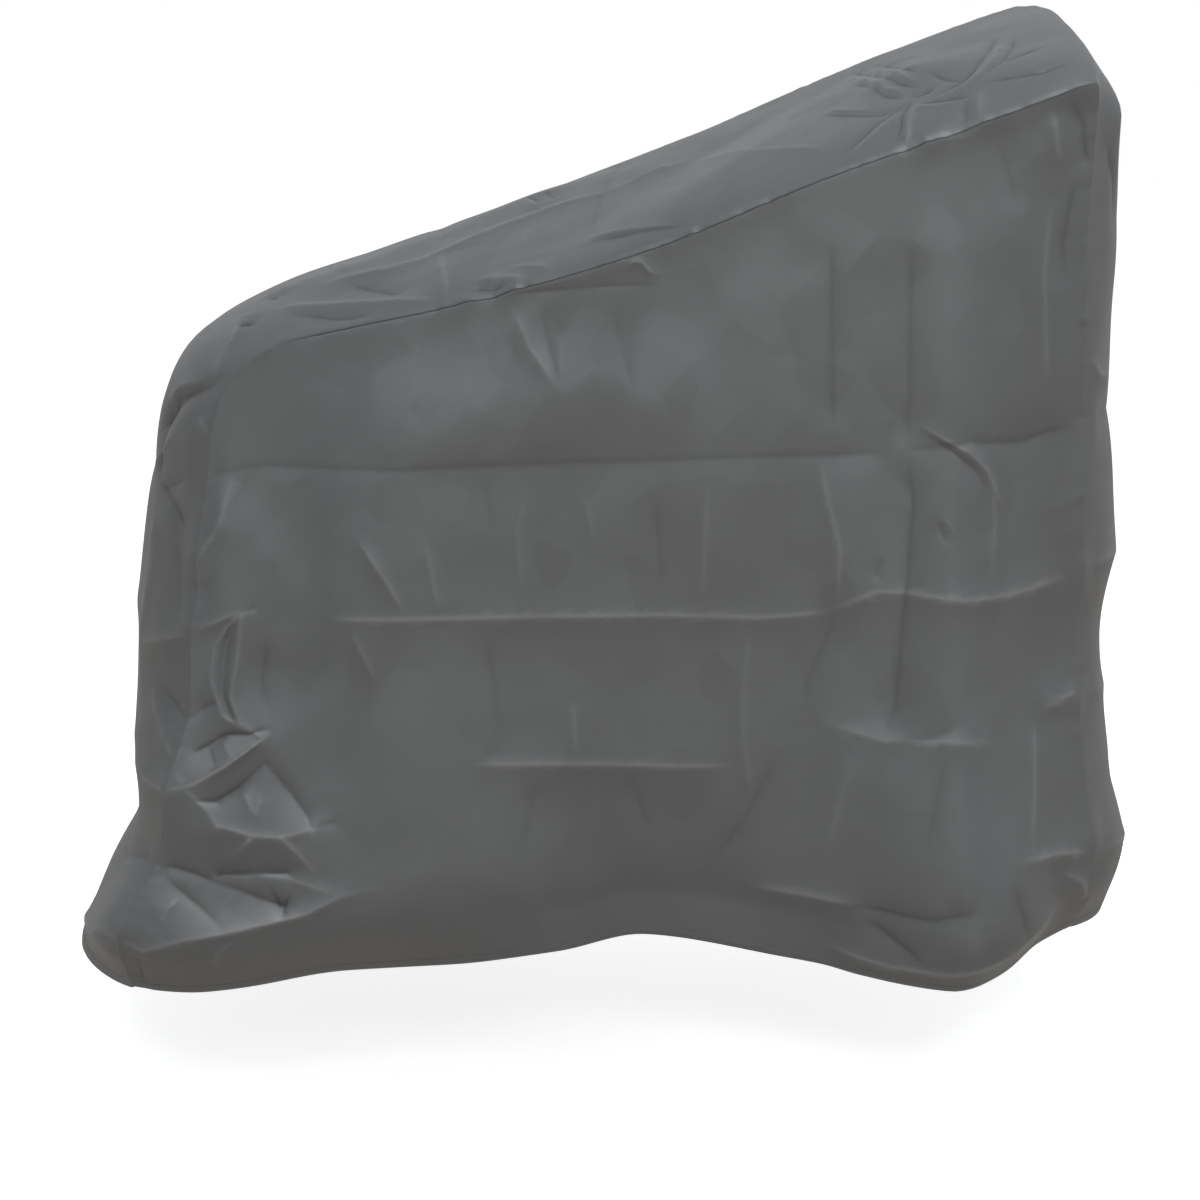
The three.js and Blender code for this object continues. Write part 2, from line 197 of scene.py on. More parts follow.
# The main folds: a line from one point to another, its half width and how far it stands out at each end. The
# sides' folds are seen from the side (x, z), the top's from above (x, y), the ends' from behind (y, z).
FOLD_COLUMNS = "a0 b0 a1 b1 width out0 out1"
RIGHT_FOLDS = table(
    FOLD_COLUMNS,
    (-0.368, 0.650, -0.378, 0.390, 0.046, -0.018, -0.034),
    (-0.462, 0.520, -0.448, 0.330, 0.048, 0.010, 0.016),
    (-0.250, 0.600, -0.210, 0.120, 0.090, 0.012, 0.012),
    (-0.092, 0.790, -0.038, 0.714, 0.034, 0.003, 0.002),
    (0.060, 0.330, 0.055, 0.040, 0.120, -0.008, -0.018),
    (0.351, 0.848, 0.344, 0.332, 0.040, -0.003, -0.006),
    (0.450, 0.860, 0.432, 0.060, 0.070, 0.005, 0.011),
    (0.508, 0.165, 0.572, 0.180, 0.034, 0.010, 0.008),
    (-0.060, 0.610, 0.240, 0.640, 0.190, 0.009, 0.009),
    (-0.190, 0.700, 0.040, 0.716, 0.056, 0.012, 0.010),
)
LEFT_FOLDS = table(
    FOLD_COLUMNS,
    (-0.330, 0.620, -0.300, 0.260, 0.056, -0.014, -0.022),
    (-0.120, 0.560, -0.100, 0.080, 0.090, 0.010, 0.014),
    (0.110, 0.420, 0.090, 0.040, 0.100, -0.008, -0.016),
    (0.300, 0.700, 0.320, 0.330, 0.044, -0.008, -0.010),
    (0.440, 0.840, 0.425, 0.070, 0.072, 0.008, 0.018),
    (-0.040, 0.600, 0.260, 0.620, 0.190, 0.009, 0.009),
)
TOP_FOLDS = table(
    FOLD_COLUMNS,
    (-0.040, -0.150, 0.240, 0.120, 0.070, -0.010, -0.012),
    (-0.330, -0.060, -0.080, 0.090, 0.050, 0.006, 0.008),
    (0.357, -0.040, 0.500, -0.210, 0.044, 0.006, 0.003),
    (0.320, 0.180, 0.357, -0.030, 0.050, 0.003, 0.006),
)
REAR_FOLDS = table(
    FOLD_COLUMNS,
    (0.030, 0.420, 0.020, 0.000, 0.060, -0.004, -0.020),
    (0.160, 0.380, 0.185, 0.010, 0.052, 0.006, 0.014),
)
FRONT_FOLDS = table(
    FOLD_COLUMNS,
    (0.020, 0.520, 0.030, 0.010, 0.056, -0.006, -0.016),
    (0.120, 0.900, 0.105, 0.300, 0.046, 0.004, 0.008),
    (-0.195, 1.040, -0.185, 0.880, 0.060, 0.026, 0.004),
)
# The share of a panel over which its main folds fade towards the seams
SEAM_FADE = {"side": 0.24, "gusset": 0.12}

# The reach of a fold's straight slopes, in half widths, how softly they end, and how round its crest is
FOLD_REACH = 1.6
FOLD_FOOT = 0.12
FOLD_EDGE = 0.20

# How round the crest of a crease is, how its height wavers along it, and over what length its ends fade: at
# most this, and at most one of so many parts of the crease
CREASE_EDGE = 0.0009
CREASE_WAVER = {"share": 0.18, "phase": 90}
CREASE_ENDS = {"most": 0.050, "parts": 3}


def crease(out, reach, *points):
    """A crease through its points: a ridge, or a trough if out is negative, and how far its slopes reach."""
    return out, reach, np.array(points)


RIGHT_CREASES = [
    # The three packing folds across the side, each in two lengths, and a branch of the lowest
    crease(-0.0036, 0.036, (-0.446, 0.606), (-0.379, 0.617), (-0.210, 0.617), (-0.038, 0.625),
           (0.248, 0.637), (0.350, 0.642)),
    crease(-0.0044, 0.030, (0.330, 0.641), (0.423, 0.654), (0.478, 0.650), (0.556, 0.668)),
    crease(0.0052, 0.036, (-0.310, 0.446), (-0.147, 0.447), (0.075, 0.450), (0.192, 0.448),
           (0.279, 0.458)),
    crease(0.0050, 0.032, (0.262, 0.455), (0.324, 0.483), (0.356, 0.483), (0.421, 0.476), (0.471, 0.477),
           (0.552, 0.488)),
    crease(0.0046, 0.028, (-0.150, 0.274), (-0.035, 0.271), (0.097, 0.267), (0.170, 0.269)),
    crease(0.0034, 0.018, (0.258, 0.328), (0.334, 0.309), (0.396, 0.313), (0.474, 0.308)),
    crease(-0.0018, 0.010, (0.334, 0.306), (0.388, 0.316), (0.425, 0.338)),
    # The upright packing folds towards the front
    crease(-0.0034, 0.020, (0.351, 0.880), (0.352, 0.700), (0.350, 0.636)),
    crease(-0.0038, 0.018, (0.350, 0.646), (0.359, 0.588), (0.355, 0.486), (0.350, 0.425),
           (0.346, 0.350), (0.331, 0.306)),
    crease(-0.0030, 0.018, (0.262, 0.890), (0.266, 0.740), (0.269, 0.648)),
    crease(0.0026, 0.014, (0.251, 0.644), (0.266, 0.582), (0.280, 0.530), (0.279, 0.460)),
    crease(-0.0024, 0.014, (0.279, 0.466), (0.264, 0.418), (0.247, 0.376), (0.238, 0.326)),
    crease(0.0030, 0.016, (0.510, 0.330), (0.512, 0.240), (0.508, 0.160)),
    crease(0.0018, 0.012, (0.448, 0.636), (0.452, 0.560), (0.446, 0.480)),
    # The sharp wrinkle that hangs off the upper fold
    crease(0.0032, 0.006, (0.358, 0.676), (0.397, 0.655), (0.421, 0.642), (0.441, 0.622), (0.464, 0.570)),
    crease(-0.0018, 0.005, (0.366, 0.664), (0.404, 0.643), (0.428, 0.624), (0.448, 0.594)),
    crease(0.0014, 0.005, (0.419, 0.659), (0.438, 0.628)),
    # Short wrinkles between the folds
    crease(-0.0018, 0.008, (0.326, 0.524), (0.318, 0.492)),
    crease(-0.0020, 0.008, (0.385, 0.568), (0.400, 0.538)),
    crease(0.0014, 0.007, (0.392, 0.574), (0.410, 0.548)),
    crease(0.0030, 0.008, (-0.268, 0.544), (-0.232, 0.490), (-0.207, 0.446)),
    crease(0.0020, 0.007, (-0.188, 0.534), (-0.172, 0.450)),
    crease(0.0020, 0.008, (-0.276, 0.440), (-0.240, 0.362)),
    crease(0.0012, 0.007, (-0.010, 0.596), (0.006, 0.520)),
    crease(-0.0012, 0.008, (-0.120, 0.606), (-0.112, 0.540)),
    crease(0.0012, 0.007, (-0.070, 0.600), (-0.084, 0.548), (-0.080, 0.470)),
    crease(-0.0020, 0.016, (-0.120, 0.440), (-0.104, 0.290)),
    crease(0.0018, 0.010, (-0.022, 0.352), (-0.018, 0.276)),
    crease(-0.0020, 0.012, (0.040, 0.262), (0.072, 0.172)),
    crease(-0.0018, 0.014, (0.070, 0.600), (0.080, 0.470)),
    crease(0.0018, 0.012, (0.130, 0.610), (0.126, 0.460)),
    crease(0.0014, 0.010, (0.180, 0.440), (0.172, 0.330), (0.186, 0.220)),
    crease(-0.0014, 0.010, (-0.060, 0.262), (-0.084, 0.150)),
    # The line under the drawn seam, and the wedge that runs down from its gathers
    crease(-0.0012, 0.006, (-0.110, 0.804), (-0.079, 0.814), (-0.004, 0.821), (0.034, 0.824),
           (0.095, 0.824)),
    crease(0.0022, 0.005, (0.032, 0.838), (0.045, 0.851), (0.055, 0.850), (0.064, 0.840), (0.078, 0.834)),
    crease(0.0022, 0.010, (-0.093, 0.808), (-0.070, 0.755), (-0.034, 0.704)),
    crease(-0.0016, 0.008, (-0.058, 0.802), (-0.048, 0.755), (-0.036, 0.714)),
    crease(0.0014, 0.007, (-0.034, 0.770), (-0.036, 0.718)),
    crease(-0.0016, 0.018, (0.020, 0.806), (0.052, 0.690)),
    # The line down the drawn-in valley at the rear
    crease(-0.0026, 0.009, (-0.370, 0.430), (-0.376, 0.370), (-0.366, 0.320)),
    # Small crumples on the facets of the rear foot
    crease(-0.0014, 0.005, (-0.440, 0.302), (-0.428, 0.272)),
    crease(0.0012, 0.005, (-0.424, 0.308), (-0.410, 0.284)),
    crease(0.0030, 0.007, (-0.403, 0.252), (-0.386, 0.221), (-0.377, 0.246)),
    crease(-0.0034, 0.008, (-0.500, 0.152), (-0.492, 0.147), (-0.460, 0.121), (-0.425, 0.092),
           (-0.412, 0.084)),
    crease(0.0032, 0.010, (-0.416, 0.137), (-0.389, 0.151), (-0.349, 0.144), (-0.284, 0.120)),
    crease(-0.0030, 0.006, (-0.372, 0.140), (-0.356, 0.104), (-0.343, 0.132)),
    crease(0.0026, 0.006, (-0.500, 0.090), (-0.486, 0.112), (-0.472, 0.124)),
    crease(-0.0022, 0.006, (-0.521, 0.064), (-0.523, 0.010)),
    crease(0.0026, 0.007, (-0.440, 0.040), (-0.430, 0.062), (-0.412, 0.078)),
    # The swag at the front foot
    crease(0.0052, 0.014, (0.176, 0.120), (0.255, 0.115), (0.322, 0.109)),
    crease(-0.0050, 0.013, (0.296, 0.108), (0.395, 0.104), (0.460, 0.124)),
    crease(-0.0056, 0.016, (0.314, 0.098), (0.396, 0.046)),
    crease(0.0120, 0.050, (0.270, 0.052), (0.352, 0.040), (0.420, 0.044), (0.480, 0.060), (0.560, 0.098)),
    crease(0.0066, 0.016, (0.490, 0.166), (0.540, 0.160), (0.592, 0.146)),
    crease(-0.0026, 0.009, (0.482, 0.152), (0.496, 0.100), (0.504, 0.050)),
    crease(0.0042, 0.009, (0.548, 0.136), (0.578, 0.112), (0.590, 0.076)),
    crease(0.0040, 0.014, (0.516, 0.330), (0.572, 0.350)),
    crease(-0.0022, 0.014, (0.404, 0.300), (0.380, 0.170)),
    crease(0.0016, 0.010, (0.300, 0.290), (0.270, 0.160)),
    crease(-0.0018, 0.010, (0.222, 0.300), (0.170, 0.190), (0.120, 0.120)),
    # The gathers under the front corner
    crease(-0.0040, 0.011, (0.516, 1.032), (0.534, 1.000), (0.545, 0.940)),
    crease(0.0030, 0.010, (0.498, 1.020), (0.512, 0.950)),
    crease(-0.0030, 0.010, (0.529, 0.950), (0.520, 0.867), (0.525, 0.812)),
    crease(0.0022, 0.009, (0.505, 0.930), (0.498, 0.840), (0.508, 0.700)),
    crease(-0.0022, 0.014, (0.440, 0.990), (0.470, 0.900)),
]

LEFT_CREASES = [
    crease(-0.0056, 0.036, (-0.430, 0.610), (-0.300, 0.622), (-0.100, 0.618), (0.120, 0.630),
           (0.330, 0.640), (0.470, 0.655), (0.550, 0.662)),
    crease(0.0052, 0.036, (-0.446, 0.438), (-0.320, 0.446), (-0.120, 0.452), (0.110, 0.446),
           (0.290, 0.462)),
    crease(0.0048, 0.030, (0.270, 0.458), (0.400, 0.474), (0.550, 0.480)),
    crease(0.0046, 0.028, (-0.330, 0.262), (-0.160, 0.274), (0.030, 0.268), (0.220, 0.280)),
    crease(0.0034, 0.018, (0.280, 0.318), (0.390, 0.306), (0.520, 0.314)),
    crease(-0.0034, 0.020, (0.338, 0.920), (0.346, 0.640), (0.340, 0.480), (0.348, 0.316)),
    crease(-0.0030, 0.018, (-0.110, 0.820), (-0.116, 0.630), (-0.104, 0.446)),
    crease(0.0026, 0.014, (0.130, 0.626), (0.118, 0.450), (0.126, 0.274)),
    crease(0.0044, 0.008, (0.014, 0.706), (0.062, 0.664), (0.084, 0.606)),
    crease(0.0030, 0.008, (-0.240, 0.566), (-0.190, 0.446)),
    crease(-0.0050, 0.022, (-0.336, 0.660), (-0.316, 0.500), (-0.300, 0.330)),
    crease(0.0046, 0.012, (-0.270, 0.180), (-0.200, 0.120), (-0.100, 0.104)),
    crease(0.0052, 0.014, (0.160, 0.120), (0.280, 0.100), (0.400, 0.112)),
    crease(-0.0052, 0.014, (0.300, 0.086), (0.380, 0.040)),
    crease(0.0064, 0.016, (0.470, 0.150), (0.530, 0.160), (0.592, 0.150)),
    crease(0.0036, 0.012, (-0.190, 0.836), (-0.150, 0.740), (-0.120, 0.684)),
    crease(0.0036, 0.012, (0.166, 0.940), (0.190, 0.820)),
    crease(-0.0040, 0.012, (0.500, 1.060), (0.530, 0.980), (0.528, 0.870)),
    crease(0.0020, 0.008, (0.200, 0.560), (0.236, 0.500)),
    crease(-0.0020, 0.008, (-0.020, 0.400), (0.010, 0.330)),
    crease(0.0024, 0.008, (-0.440, 0.400), (-0.400, 0.330), (-0.410, 0.280)),
]

# Creases of the gusset's sloping top (x, y)
TOP_CREASES = [
    # The fold along the strip's middle, and the ones across it
    crease(0.0042, 0.016, (-0.330, -0.098), (-0.262, -0.090), (-0.208, -0.087), (-0.139, -0.043),
           (-0.104, -0.026), (-0.056, -0.006), (0.014, -0.004), (0.064, 0.020), (0.115, 0.030)),
    crease(-0.0026, 0.007, (-0.034, 0.000), (0.023, 0.008), (0.050, 0.025), (0.078, 0.048)),
    crease(-0.0032, 0.012, (-0.212, 0.230), (-0.203, 0.104), (-0.181, -0.050)),
    crease(0.0030, 0.009, (-0.184, -0.076), (-0.172, -0.167), (-0.165, -0.214), (-0.163, -0.250)),
    crease(0.0044, 0.014, (-0.378, -0.146), (-0.254, -0.199), (-0.166, -0.240)),
    crease(-0.0050, 0.016, (-0.296, -0.104), (-0.241, -0.168), (-0.208, -0.212)),
    crease(-0.0046, 0.008, (-0.146, -0.228), (-0.118, -0.238), (-0.092, -0.248)),
    crease(0.0042, 0.008, (-0.134, -0.212), (-0.100, -0.230), (-0.066, -0.246)),
    crease(0.0032, 0.007, (-0.100, -0.196), (-0.070, -0.216), (-0.040, -0.246)),
    crease(-0.0030, 0.006, (-0.094, 0.096), (-0.072, 0.022)),
    crease(0.0032, 0.006, (-0.100, 0.092), (-0.088, 0.058), (-0.072, -0.006)),
    crease(-0.0026, 0.006, (-0.070, 0.090), (-0.054, 0.026)),
    crease(0.0016, 0.008, (-0.084, -0.060), (-0.080, -0.160)),
    crease(-0.0022, 0.014, (0.020, 0.190), (0.010, 0.060), (-0.010, -0.200)),
    crease(0.0028, 0.007, (-0.020, -0.176), (0.040, -0.208), (0.110, -0.252)),
    crease(-0.0028, 0.007, (-0.010, -0.194), (0.060, -0.228), (0.120, -0.256)),
    crease(0.0026, 0.012, (0.110, 0.020), (0.184, -0.130), (0.266, -0.222)),
    # The star where the cloth is drawn together near the front: its bundle towards the far seam
    crease(-0.0024, 0.0043, (0.330, 0.130), (0.336, 0.091), (0.352, -0.034), (0.372, -0.096)),
    crease(0.0024, 0.0043, (0.326, 0.070), (0.333, 0.022), (0.351, -0.070), (0.370, -0.122)),
    crease(-0.0027, 0.0043, (0.304, 0.150), (0.311, 0.113), (0.330, -0.031), (0.345, -0.089),
           (0.370, -0.138)),
    crease(0.0027, 0.0050, (0.298, 0.140), (0.315, -0.005), (0.332, -0.089), (0.354, -0.140)),
    crease(-0.0029, 0.0050, (0.298, 0.040), (0.311, -0.031), (0.328, -0.110), (0.354, -0.154)),
    crease(0.0018, 0.0050, (0.256, -0.060), (0.285, -0.105), (0.314, -0.146)),
    crease(-0.0024, 0.0056, (0.254, -0.080), (0.277, -0.113), (0.299, -0.147), (0.320, -0.172),
           (0.346, -0.162)),
    # Its lines towards the near seam
    crease(-0.0030, 0.0050, (0.358, -0.154), (0.343, -0.189), (0.338, -0.225), (0.330, -0.262)),
    crease(0.0030, 0.0056, (0.362, -0.172), (0.351, -0.210), (0.346, -0.240), (0.340, -0.266)),
    crease(-0.0024, 0.0062, (0.356, -0.158), (0.336, -0.174), (0.310, -0.200), (0.287, -0.226),
           (0.270, -0.252)),
    crease(0.0022, 0.0062, (0.348, -0.180), (0.318, -0.210), (0.296, -0.232), (0.282, -0.254)),
    crease(-0.0032, 0.0062, (0.350, -0.148), (0.368, -0.147), (0.384, -0.152)),
    # Its bundle towards the front
    crease(-0.0027, 0.0043, (0.364, -0.180), (0.392, -0.172), (0.409, -0.164), (0.425, -0.140),
           (0.448, -0.068), (0.466, 0.010)),
    crease(0.0027, 0.0043, (0.370, -0.186), (0.407, -0.180), (0.426, -0.166), (0.444, -0.136),
           (0.468, -0.044)),
    crease(-0.0019, 0.0040, (0.378, -0.086), (0.385, -0.107), (0.397, -0.143), (0.416, -0.172)),
    crease(-0.0021, 0.0040, (0.358, -0.178), (0.390, -0.199), (0.422, -0.216)),
    crease(0.0021, 0.0040, (0.348, -0.186), (0.380, -0.205), (0.414, -0.220)),
    crease(-0.0021, 0.0043, (0.424, -0.190), (0.456, -0.204), (0.491, -0.216), (0.530, -0.214)),
    crease(-0.0021, 0.0043, (0.428, -0.174), (0.454, -0.148), (0.470, -0.097), (0.484, -0.024)),
    crease(-0.0018, 0.0043, (0.450, -0.160), (0.483, -0.138), (0.508, -0.126)),
    crease(-0.0021, 0.0081, (0.409, -0.216), (0.405, -0.264)),
    crease(0.0021, 0.0081, (0.425, -0.206), (0.420, -0.266)),
    # Crumples over the rear corner
    crease(-0.0036, 0.008, (-0.404, 0.000), (-0.376, -0.113), (-0.378, -0.140)),
    crease(0.0036, 0.008, (-0.388, -0.014), (-0.364, -0.100)),
    crease(0.0030, 0.008, (-0.340, 0.060), (-0.300, -0.040), (-0.286, -0.090)),
    crease(-0.0040, 0.012, (-0.360, -0.179), (-0.323, -0.195), (-0.288, -0.218), (-0.230, -0.240)),
    crease(-0.0030, 0.006, (-0.414, -0.169), (-0.403, -0.166), (-0.387, -0.178)),
    crease(0.0042, 0.010, (-0.405, -0.120), (-0.411, -0.163), (-0.413, -0.187), (-0.419, -0.211)),
]

# Creases of the gusset's rear (y, z) and front (y, z)
REAR_CREASES = [
    crease(-0.0044, 0.020, (-0.262, 0.602), (-0.229, 0.591), (-0.193, 0.574), (-0.100, 0.590),
           (0.020, 0.606), (0.230, 0.612)),
    crease(0.0028, 0.022, (-0.200, 0.402), (-0.120, 0.426), (0.060, 0.446), (0.250, 0.440)),
    crease(-0.0044, 0.012, (-0.160, 0.680), (-0.169, 0.625), (-0.172, 0.574)),
    crease(0.0028, 0.022, (-0.230, 0.262), (-0.060, 0.274), (0.130, 0.262), (0.260, 0.270)),
    crease(0.0036, 0.018, (0.000, 0.740), (0.008, 0.520), (-0.006, 0.280), (0.004, 0.050)),
    crease(-0.0044, 0.012, (-0.140, 0.620), (-0.183, 0.669), (-0.205, 0.690), (-0.236, 0.708)),
    crease(0.0042, 0.011, (-0.136, 0.578), (-0.204, 0.646)),
    crease(-0.0046, 0.008, (-0.151, 0.631), (-0.174, 0.660), (-0.181, 0.679), (-0.210, 0.690),
           (-0.232, 0.702), (-0.239, 0.725)),
    crease(0.0034, 0.009, (-0.150, 0.668), (-0.178, 0.692), (-0.208, 0.702), (-0.226, 0.714)),
    crease(0.0042, 0.010, (-0.163, 0.757), (-0.187, 0.750), (-0.211, 0.735), (-0.228, 0.717),
           (-0.236, 0.701)),
    crease(0.0030, 0.008, (-0.235, 0.668), (-0.250, 0.655), (-0.256, 0.640)),
    crease(-0.0040, 0.009, (-0.180, 0.580), (-0.231, 0.553), (-0.256, 0.528)),
    crease(0.0040, 0.014, (-0.176, 0.550), (-0.196, 0.440), (-0.186, 0.320)),
    crease(0.0048, 0.014, (0.080, 0.230), (0.150, 0.160), (0.250, 0.140)),
    crease(0.0110, 0.018, (-0.345, 0.066), (-0.270, 0.050), (-0.200, 0.036), (-0.140, 0.026)),
    crease(0.0080, 0.018, (0.170, 0.036), (0.230, 0.046), (0.296, 0.062)),
    crease(-0.0034, 0.012, (0.120, 0.590), (0.180, 0.500), (0.190, 0.390)),
]
FRONT_CREASES = [
    crease(-0.0044, 0.032, (-0.218, 0.666), (0.000, 0.656), (0.206, 0.662)),
    crease(0.0046, 0.030, (-0.208, 0.500), (-0.090, 0.484), (0.060, 0.490), (0.200, 0.480)),
    crease(0.0038, 0.026, (-0.200, 0.346), (-0.120, 0.320), (0.010, 0.316), (0.196, 0.318)),
    crease(0.0034, 0.018, (0.004, 1.010), (-0.008, 0.700), (0.006, 0.420), (-0.004, 0.110)),
    crease(-0.0038, 0.011, (-0.226, 0.990), (-0.190, 0.930), (-0.166, 0.870)),
    crease(0.0034, 0.010, (-0.224, 0.745), (-0.197, 0.715), (-0.140, 0.704)),
    crease(0.0044, 0.013, (-0.196, 0.142), (-0.060, 0.120), (0.100, 0.136), (0.196, 0.120)),
    crease(-0.0038, 0.013, (-0.126, 0.236), (-0.040, 0.170), (0.066, 0.194)),
    crease(-0.0036, 0.012, (0.160, 1.030), (0.150, 0.900), (0.170, 0.810)),
]

# Nets of crease lines where the cloth crumples into flat facets: each point's place, and how far it stands
# out. The right side's rear (x, z, out), from the folds at mid height down to the fold above the hem.
RIGHT_NET = [np.array(line) for line in (
    [(-0.446, 0.510, 0.005), (-0.423, 0.550, 0.008), (-0.408, 0.600, 0.003)],
    [(-0.455, 0.430, 0.006), (-0.426, 0.441, 0.009), (-0.405, 0.450, 0.009), (-0.385, 0.455, 0.002)],
    [(-0.405, 0.446, 0.009), (-0.430, 0.413, 0.004), (-0.435, 0.375, 0.003), (-0.422, 0.333, 0.004),
     (-0.391, 0.313, 0.003)],
    [(-0.412, 0.434, 0.000), (-0.420, 0.397, -0.004), (-0.423, 0.359, -0.004), (-0.412, 0.330, -0.002)],
    [(-0.399, 0.447, 0.009), (-0.405, 0.397, 0.007), (-0.413, 0.354, 0.006), (-0.403, 0.325, 0.005),
     (-0.376, 0.306, 0.003)],
    [(-0.466, 0.330, -0.006), (-0.447, 0.340, -0.007), (-0.434, 0.345, -0.004)],
    [(-0.476, 0.276, 0.005), (-0.466, 0.258, 0.012)],
    [(-0.450, 0.292, -0.005), (-0.417, 0.311, -0.007), (-0.391, 0.312, -0.005), (-0.368, 0.318, 0.000)],
    [(-0.480, 0.247, 0.010), (-0.455, 0.254, 0.013), (-0.420, 0.275, 0.013), (-0.388, 0.298, 0.009),
     (-0.366, 0.312, 0.000)],
    [(-0.452, 0.236, 0.006), (-0.430, 0.234, -0.003), (-0.405, 0.248, -0.006), (-0.374, 0.278, -0.004)],
    [(-0.460, 0.246, 0.010), (-0.437, 0.221, 0.008), (-0.428, 0.207, 0.010)],
    [(-0.428, 0.208, 0.010), (-0.388, 0.196, 0.015), (-0.354, 0.194, 0.015), (-0.330, 0.199, 0.010),
     (-0.296, 0.208, 0.000)],
    [(-0.374, 0.278, -0.004), (-0.347, 0.244, -0.006), (-0.327, 0.217, -0.001), (-0.320, 0.199, 0.008)],
    [(-0.429, 0.149, -0.011), (-0.411, 0.172, 0.003), (-0.393, 0.191, 0.015)],
    [(-0.355, 0.194, 0.015), (-0.328, 0.163, 0.007), (-0.312, 0.144, 0.000)],
    [(-0.429, 0.149, -0.011), (-0.390, 0.150, -0.008), (-0.349, 0.150, -0.004)],
    [(-0.530, 0.161, -0.010), (-0.483, 0.158, -0.012), (-0.455, 0.150, -0.012), (-0.411, 0.133, -0.008),
     (-0.356, 0.110, -0.002)],
    [(-0.545, 0.074, 0.010), (-0.517, 0.067, 0.014), (-0.466, 0.080, 0.016), (-0.403, 0.089, 0.016),
     (-0.332, 0.101, 0.011), (-0.287, 0.122, 0.006), (-0.236, 0.134, 0.000)],
)]
# The gusset's rear (y, z, out), where the same facets run on
REAR_NET = [np.array(line) for line in (
    [(-0.215, 0.556, -0.003), (-0.229, 0.544, -0.005), (-0.248, 0.494, -0.007), (-0.270, 0.445, -0.002)],
    [(-0.180, 0.382, 0.000), (-0.215, 0.394, 0.006), (-0.253, 0.408, 0.008), (-0.290, 0.426, 0.006)],
    [(-0.250, 0.350, -0.003), (-0.285, 0.335, -0.007), (-0.306, 0.328, -0.006)],
    [(-0.235, 0.345, 0.000), (-0.252, 0.326, 0.005), (-0.295, 0.292, 0.007), (-0.314, 0.276, 0.005)],
    [(-0.322, 0.247, 0.010), (-0.295, 0.243, 0.010), (-0.200, 0.238, 0.006), (-0.080, 0.242, 0.002),
     (0.060, 0.236, 0.001), (0.180, 0.234, 0.004), (0.286, 0.230, 0.008)],
    [(-0.342, 0.162, -0.010), (-0.302, 0.160, -0.011), (-0.225, 0.133, -0.008), (-0.100, 0.124, 0.001),
     (0.020, 0.112, 0.004), (0.110, 0.128, 0.001), (0.200, 0.122, -0.004), (0.298, 0.150, -0.008)],
    [(-0.100, 0.124, 0.001), (-0.040, 0.186, -0.004), (0.030, 0.238, 0.001)],
    [(0.110, 0.128, 0.001), (0.150, 0.180, -0.004), (0.180, 0.234, 0.004)],
    [(-0.350, 0.074, 0.010), (-0.311, 0.071, 0.010), (-0.250, 0.050, 0.005), (-0.190, 0.030, 0.000)],
    [(0.306, 0.074, 0.008), (0.250, 0.062, 0.006), (0.180, 0.036, 0.000)],
)]
# The left side's rear (x, z, out)
LEFT_NET = [np.array(line) for line in (
    [(-0.470, 0.290, 0.000), (-0.420, 0.306, -0.006), (-0.366, 0.318, 0.000)],
    [(-0.480, 0.232, 0.008), (-0.440, 0.250, 0.014), (-0.392, 0.272, 0.014), (-0.346, 0.286, 0.000)],
    [(-0.456, 0.214, 0.000), (-0.408, 0.230, -0.011), (-0.360, 0.262, -0.005)],
    [(-0.436, 0.186, 0.004), (-0.396, 0.178, 0.016), (-0.340, 0.180, 0.015), (-0.280, 0.198, 0.000)],
    [(-0.360, 0.262, -0.005), (-0.336, 0.222, -0.007), (-0.340, 0.180, 0.015)],
    [(-0.524, 0.150, -0.008), (-0.470, 0.140, -0.011), (-0.400, 0.124, -0.009), (-0.330, 0.112, -0.002)],
    [(-0.396, 0.178, 0.016), (-0.430, 0.132, -0.009)],
    [(-0.536, 0.074, 0.008), (-0.500, 0.064, 0.013), (-0.400, 0.070, 0.015), (-0.300, 0.092, 0.007),
     (-0.250, 0.110, 0.000)],
)]
# How far from its lines a net moves the cloth, and the pull of the free cloth, as the distance of a line
NET_REACH = 0.100
NET_FREE = 0.050

# Soft waviness between the creases: wavelengths and heights, the number of waves of each, how far their
# lengths spread, and the seed of each panel's waves
RIPPLES = table("wavelength height", (0.300, 0.0012), (0.130, 0.0004))
RIPPLES_IN_EACH = 5
RIPPLE_SPREAD = (0.8, 1.25)
RIPPLE_SEEDS = {RIGHT: 4, LEFT: 6, "gusset": 9}

# The pale line of a ridge, partly wear and partly a painted highlight, or the dark one of a trough, a
# painted
# shade: its width, a share of the crease's reach within limits, and the height at which it is strongest,
# less for troughs of a short reach, down to a share
PAINTED_LINE_WIDTH = {"least": 0.0018, "most": 0.0030, "share": 0.30}
FULLY_PAINTED_AT = {"creases": 0.006, "facets": 0.018}
SHADED_REACH, SHADED_SHARE = 0.012, 0.35


def mix(first, second, share):
    """From first to second, point by point."""
    return first + (second - first) * np.asarray(share)[..., None]


def ease(value, start, end):
    """A smooth step from 0 at start to 1 at end."""
    t = np.clip((value - start) / (end - start), 0, 1)
    return t * t * (3 - 2 * t)


def column_at(rows, column, length):
    """A smooth curve through one column of a measured table."""
    knots, values = rows["length"], rows[column]
    last = len(knots) - 1
    before, after = np.maximum(np.arange(last + 1) - 1, 0), np.minimum(np.arange(last + 1) + 1, last)
    slopes = (values[after] - values[before]) / (knots[after] - knots[before])
    right = np.clip(np.searchsorted(knots, length), 1, last)
    left = right - 1
    span = knots[right] - knots[left]
    t = (length - knots[left]) / span
    from_left = (2 * t**3 - 3 * t**2 + 1) * values[left] + (t**3 - 2 * t**2 + t) * span * slopes[left]
    return from_left + (3 * t**2 - 2 * t**3) * values[right] + (t**3 - t**2) * span * slopes[right]


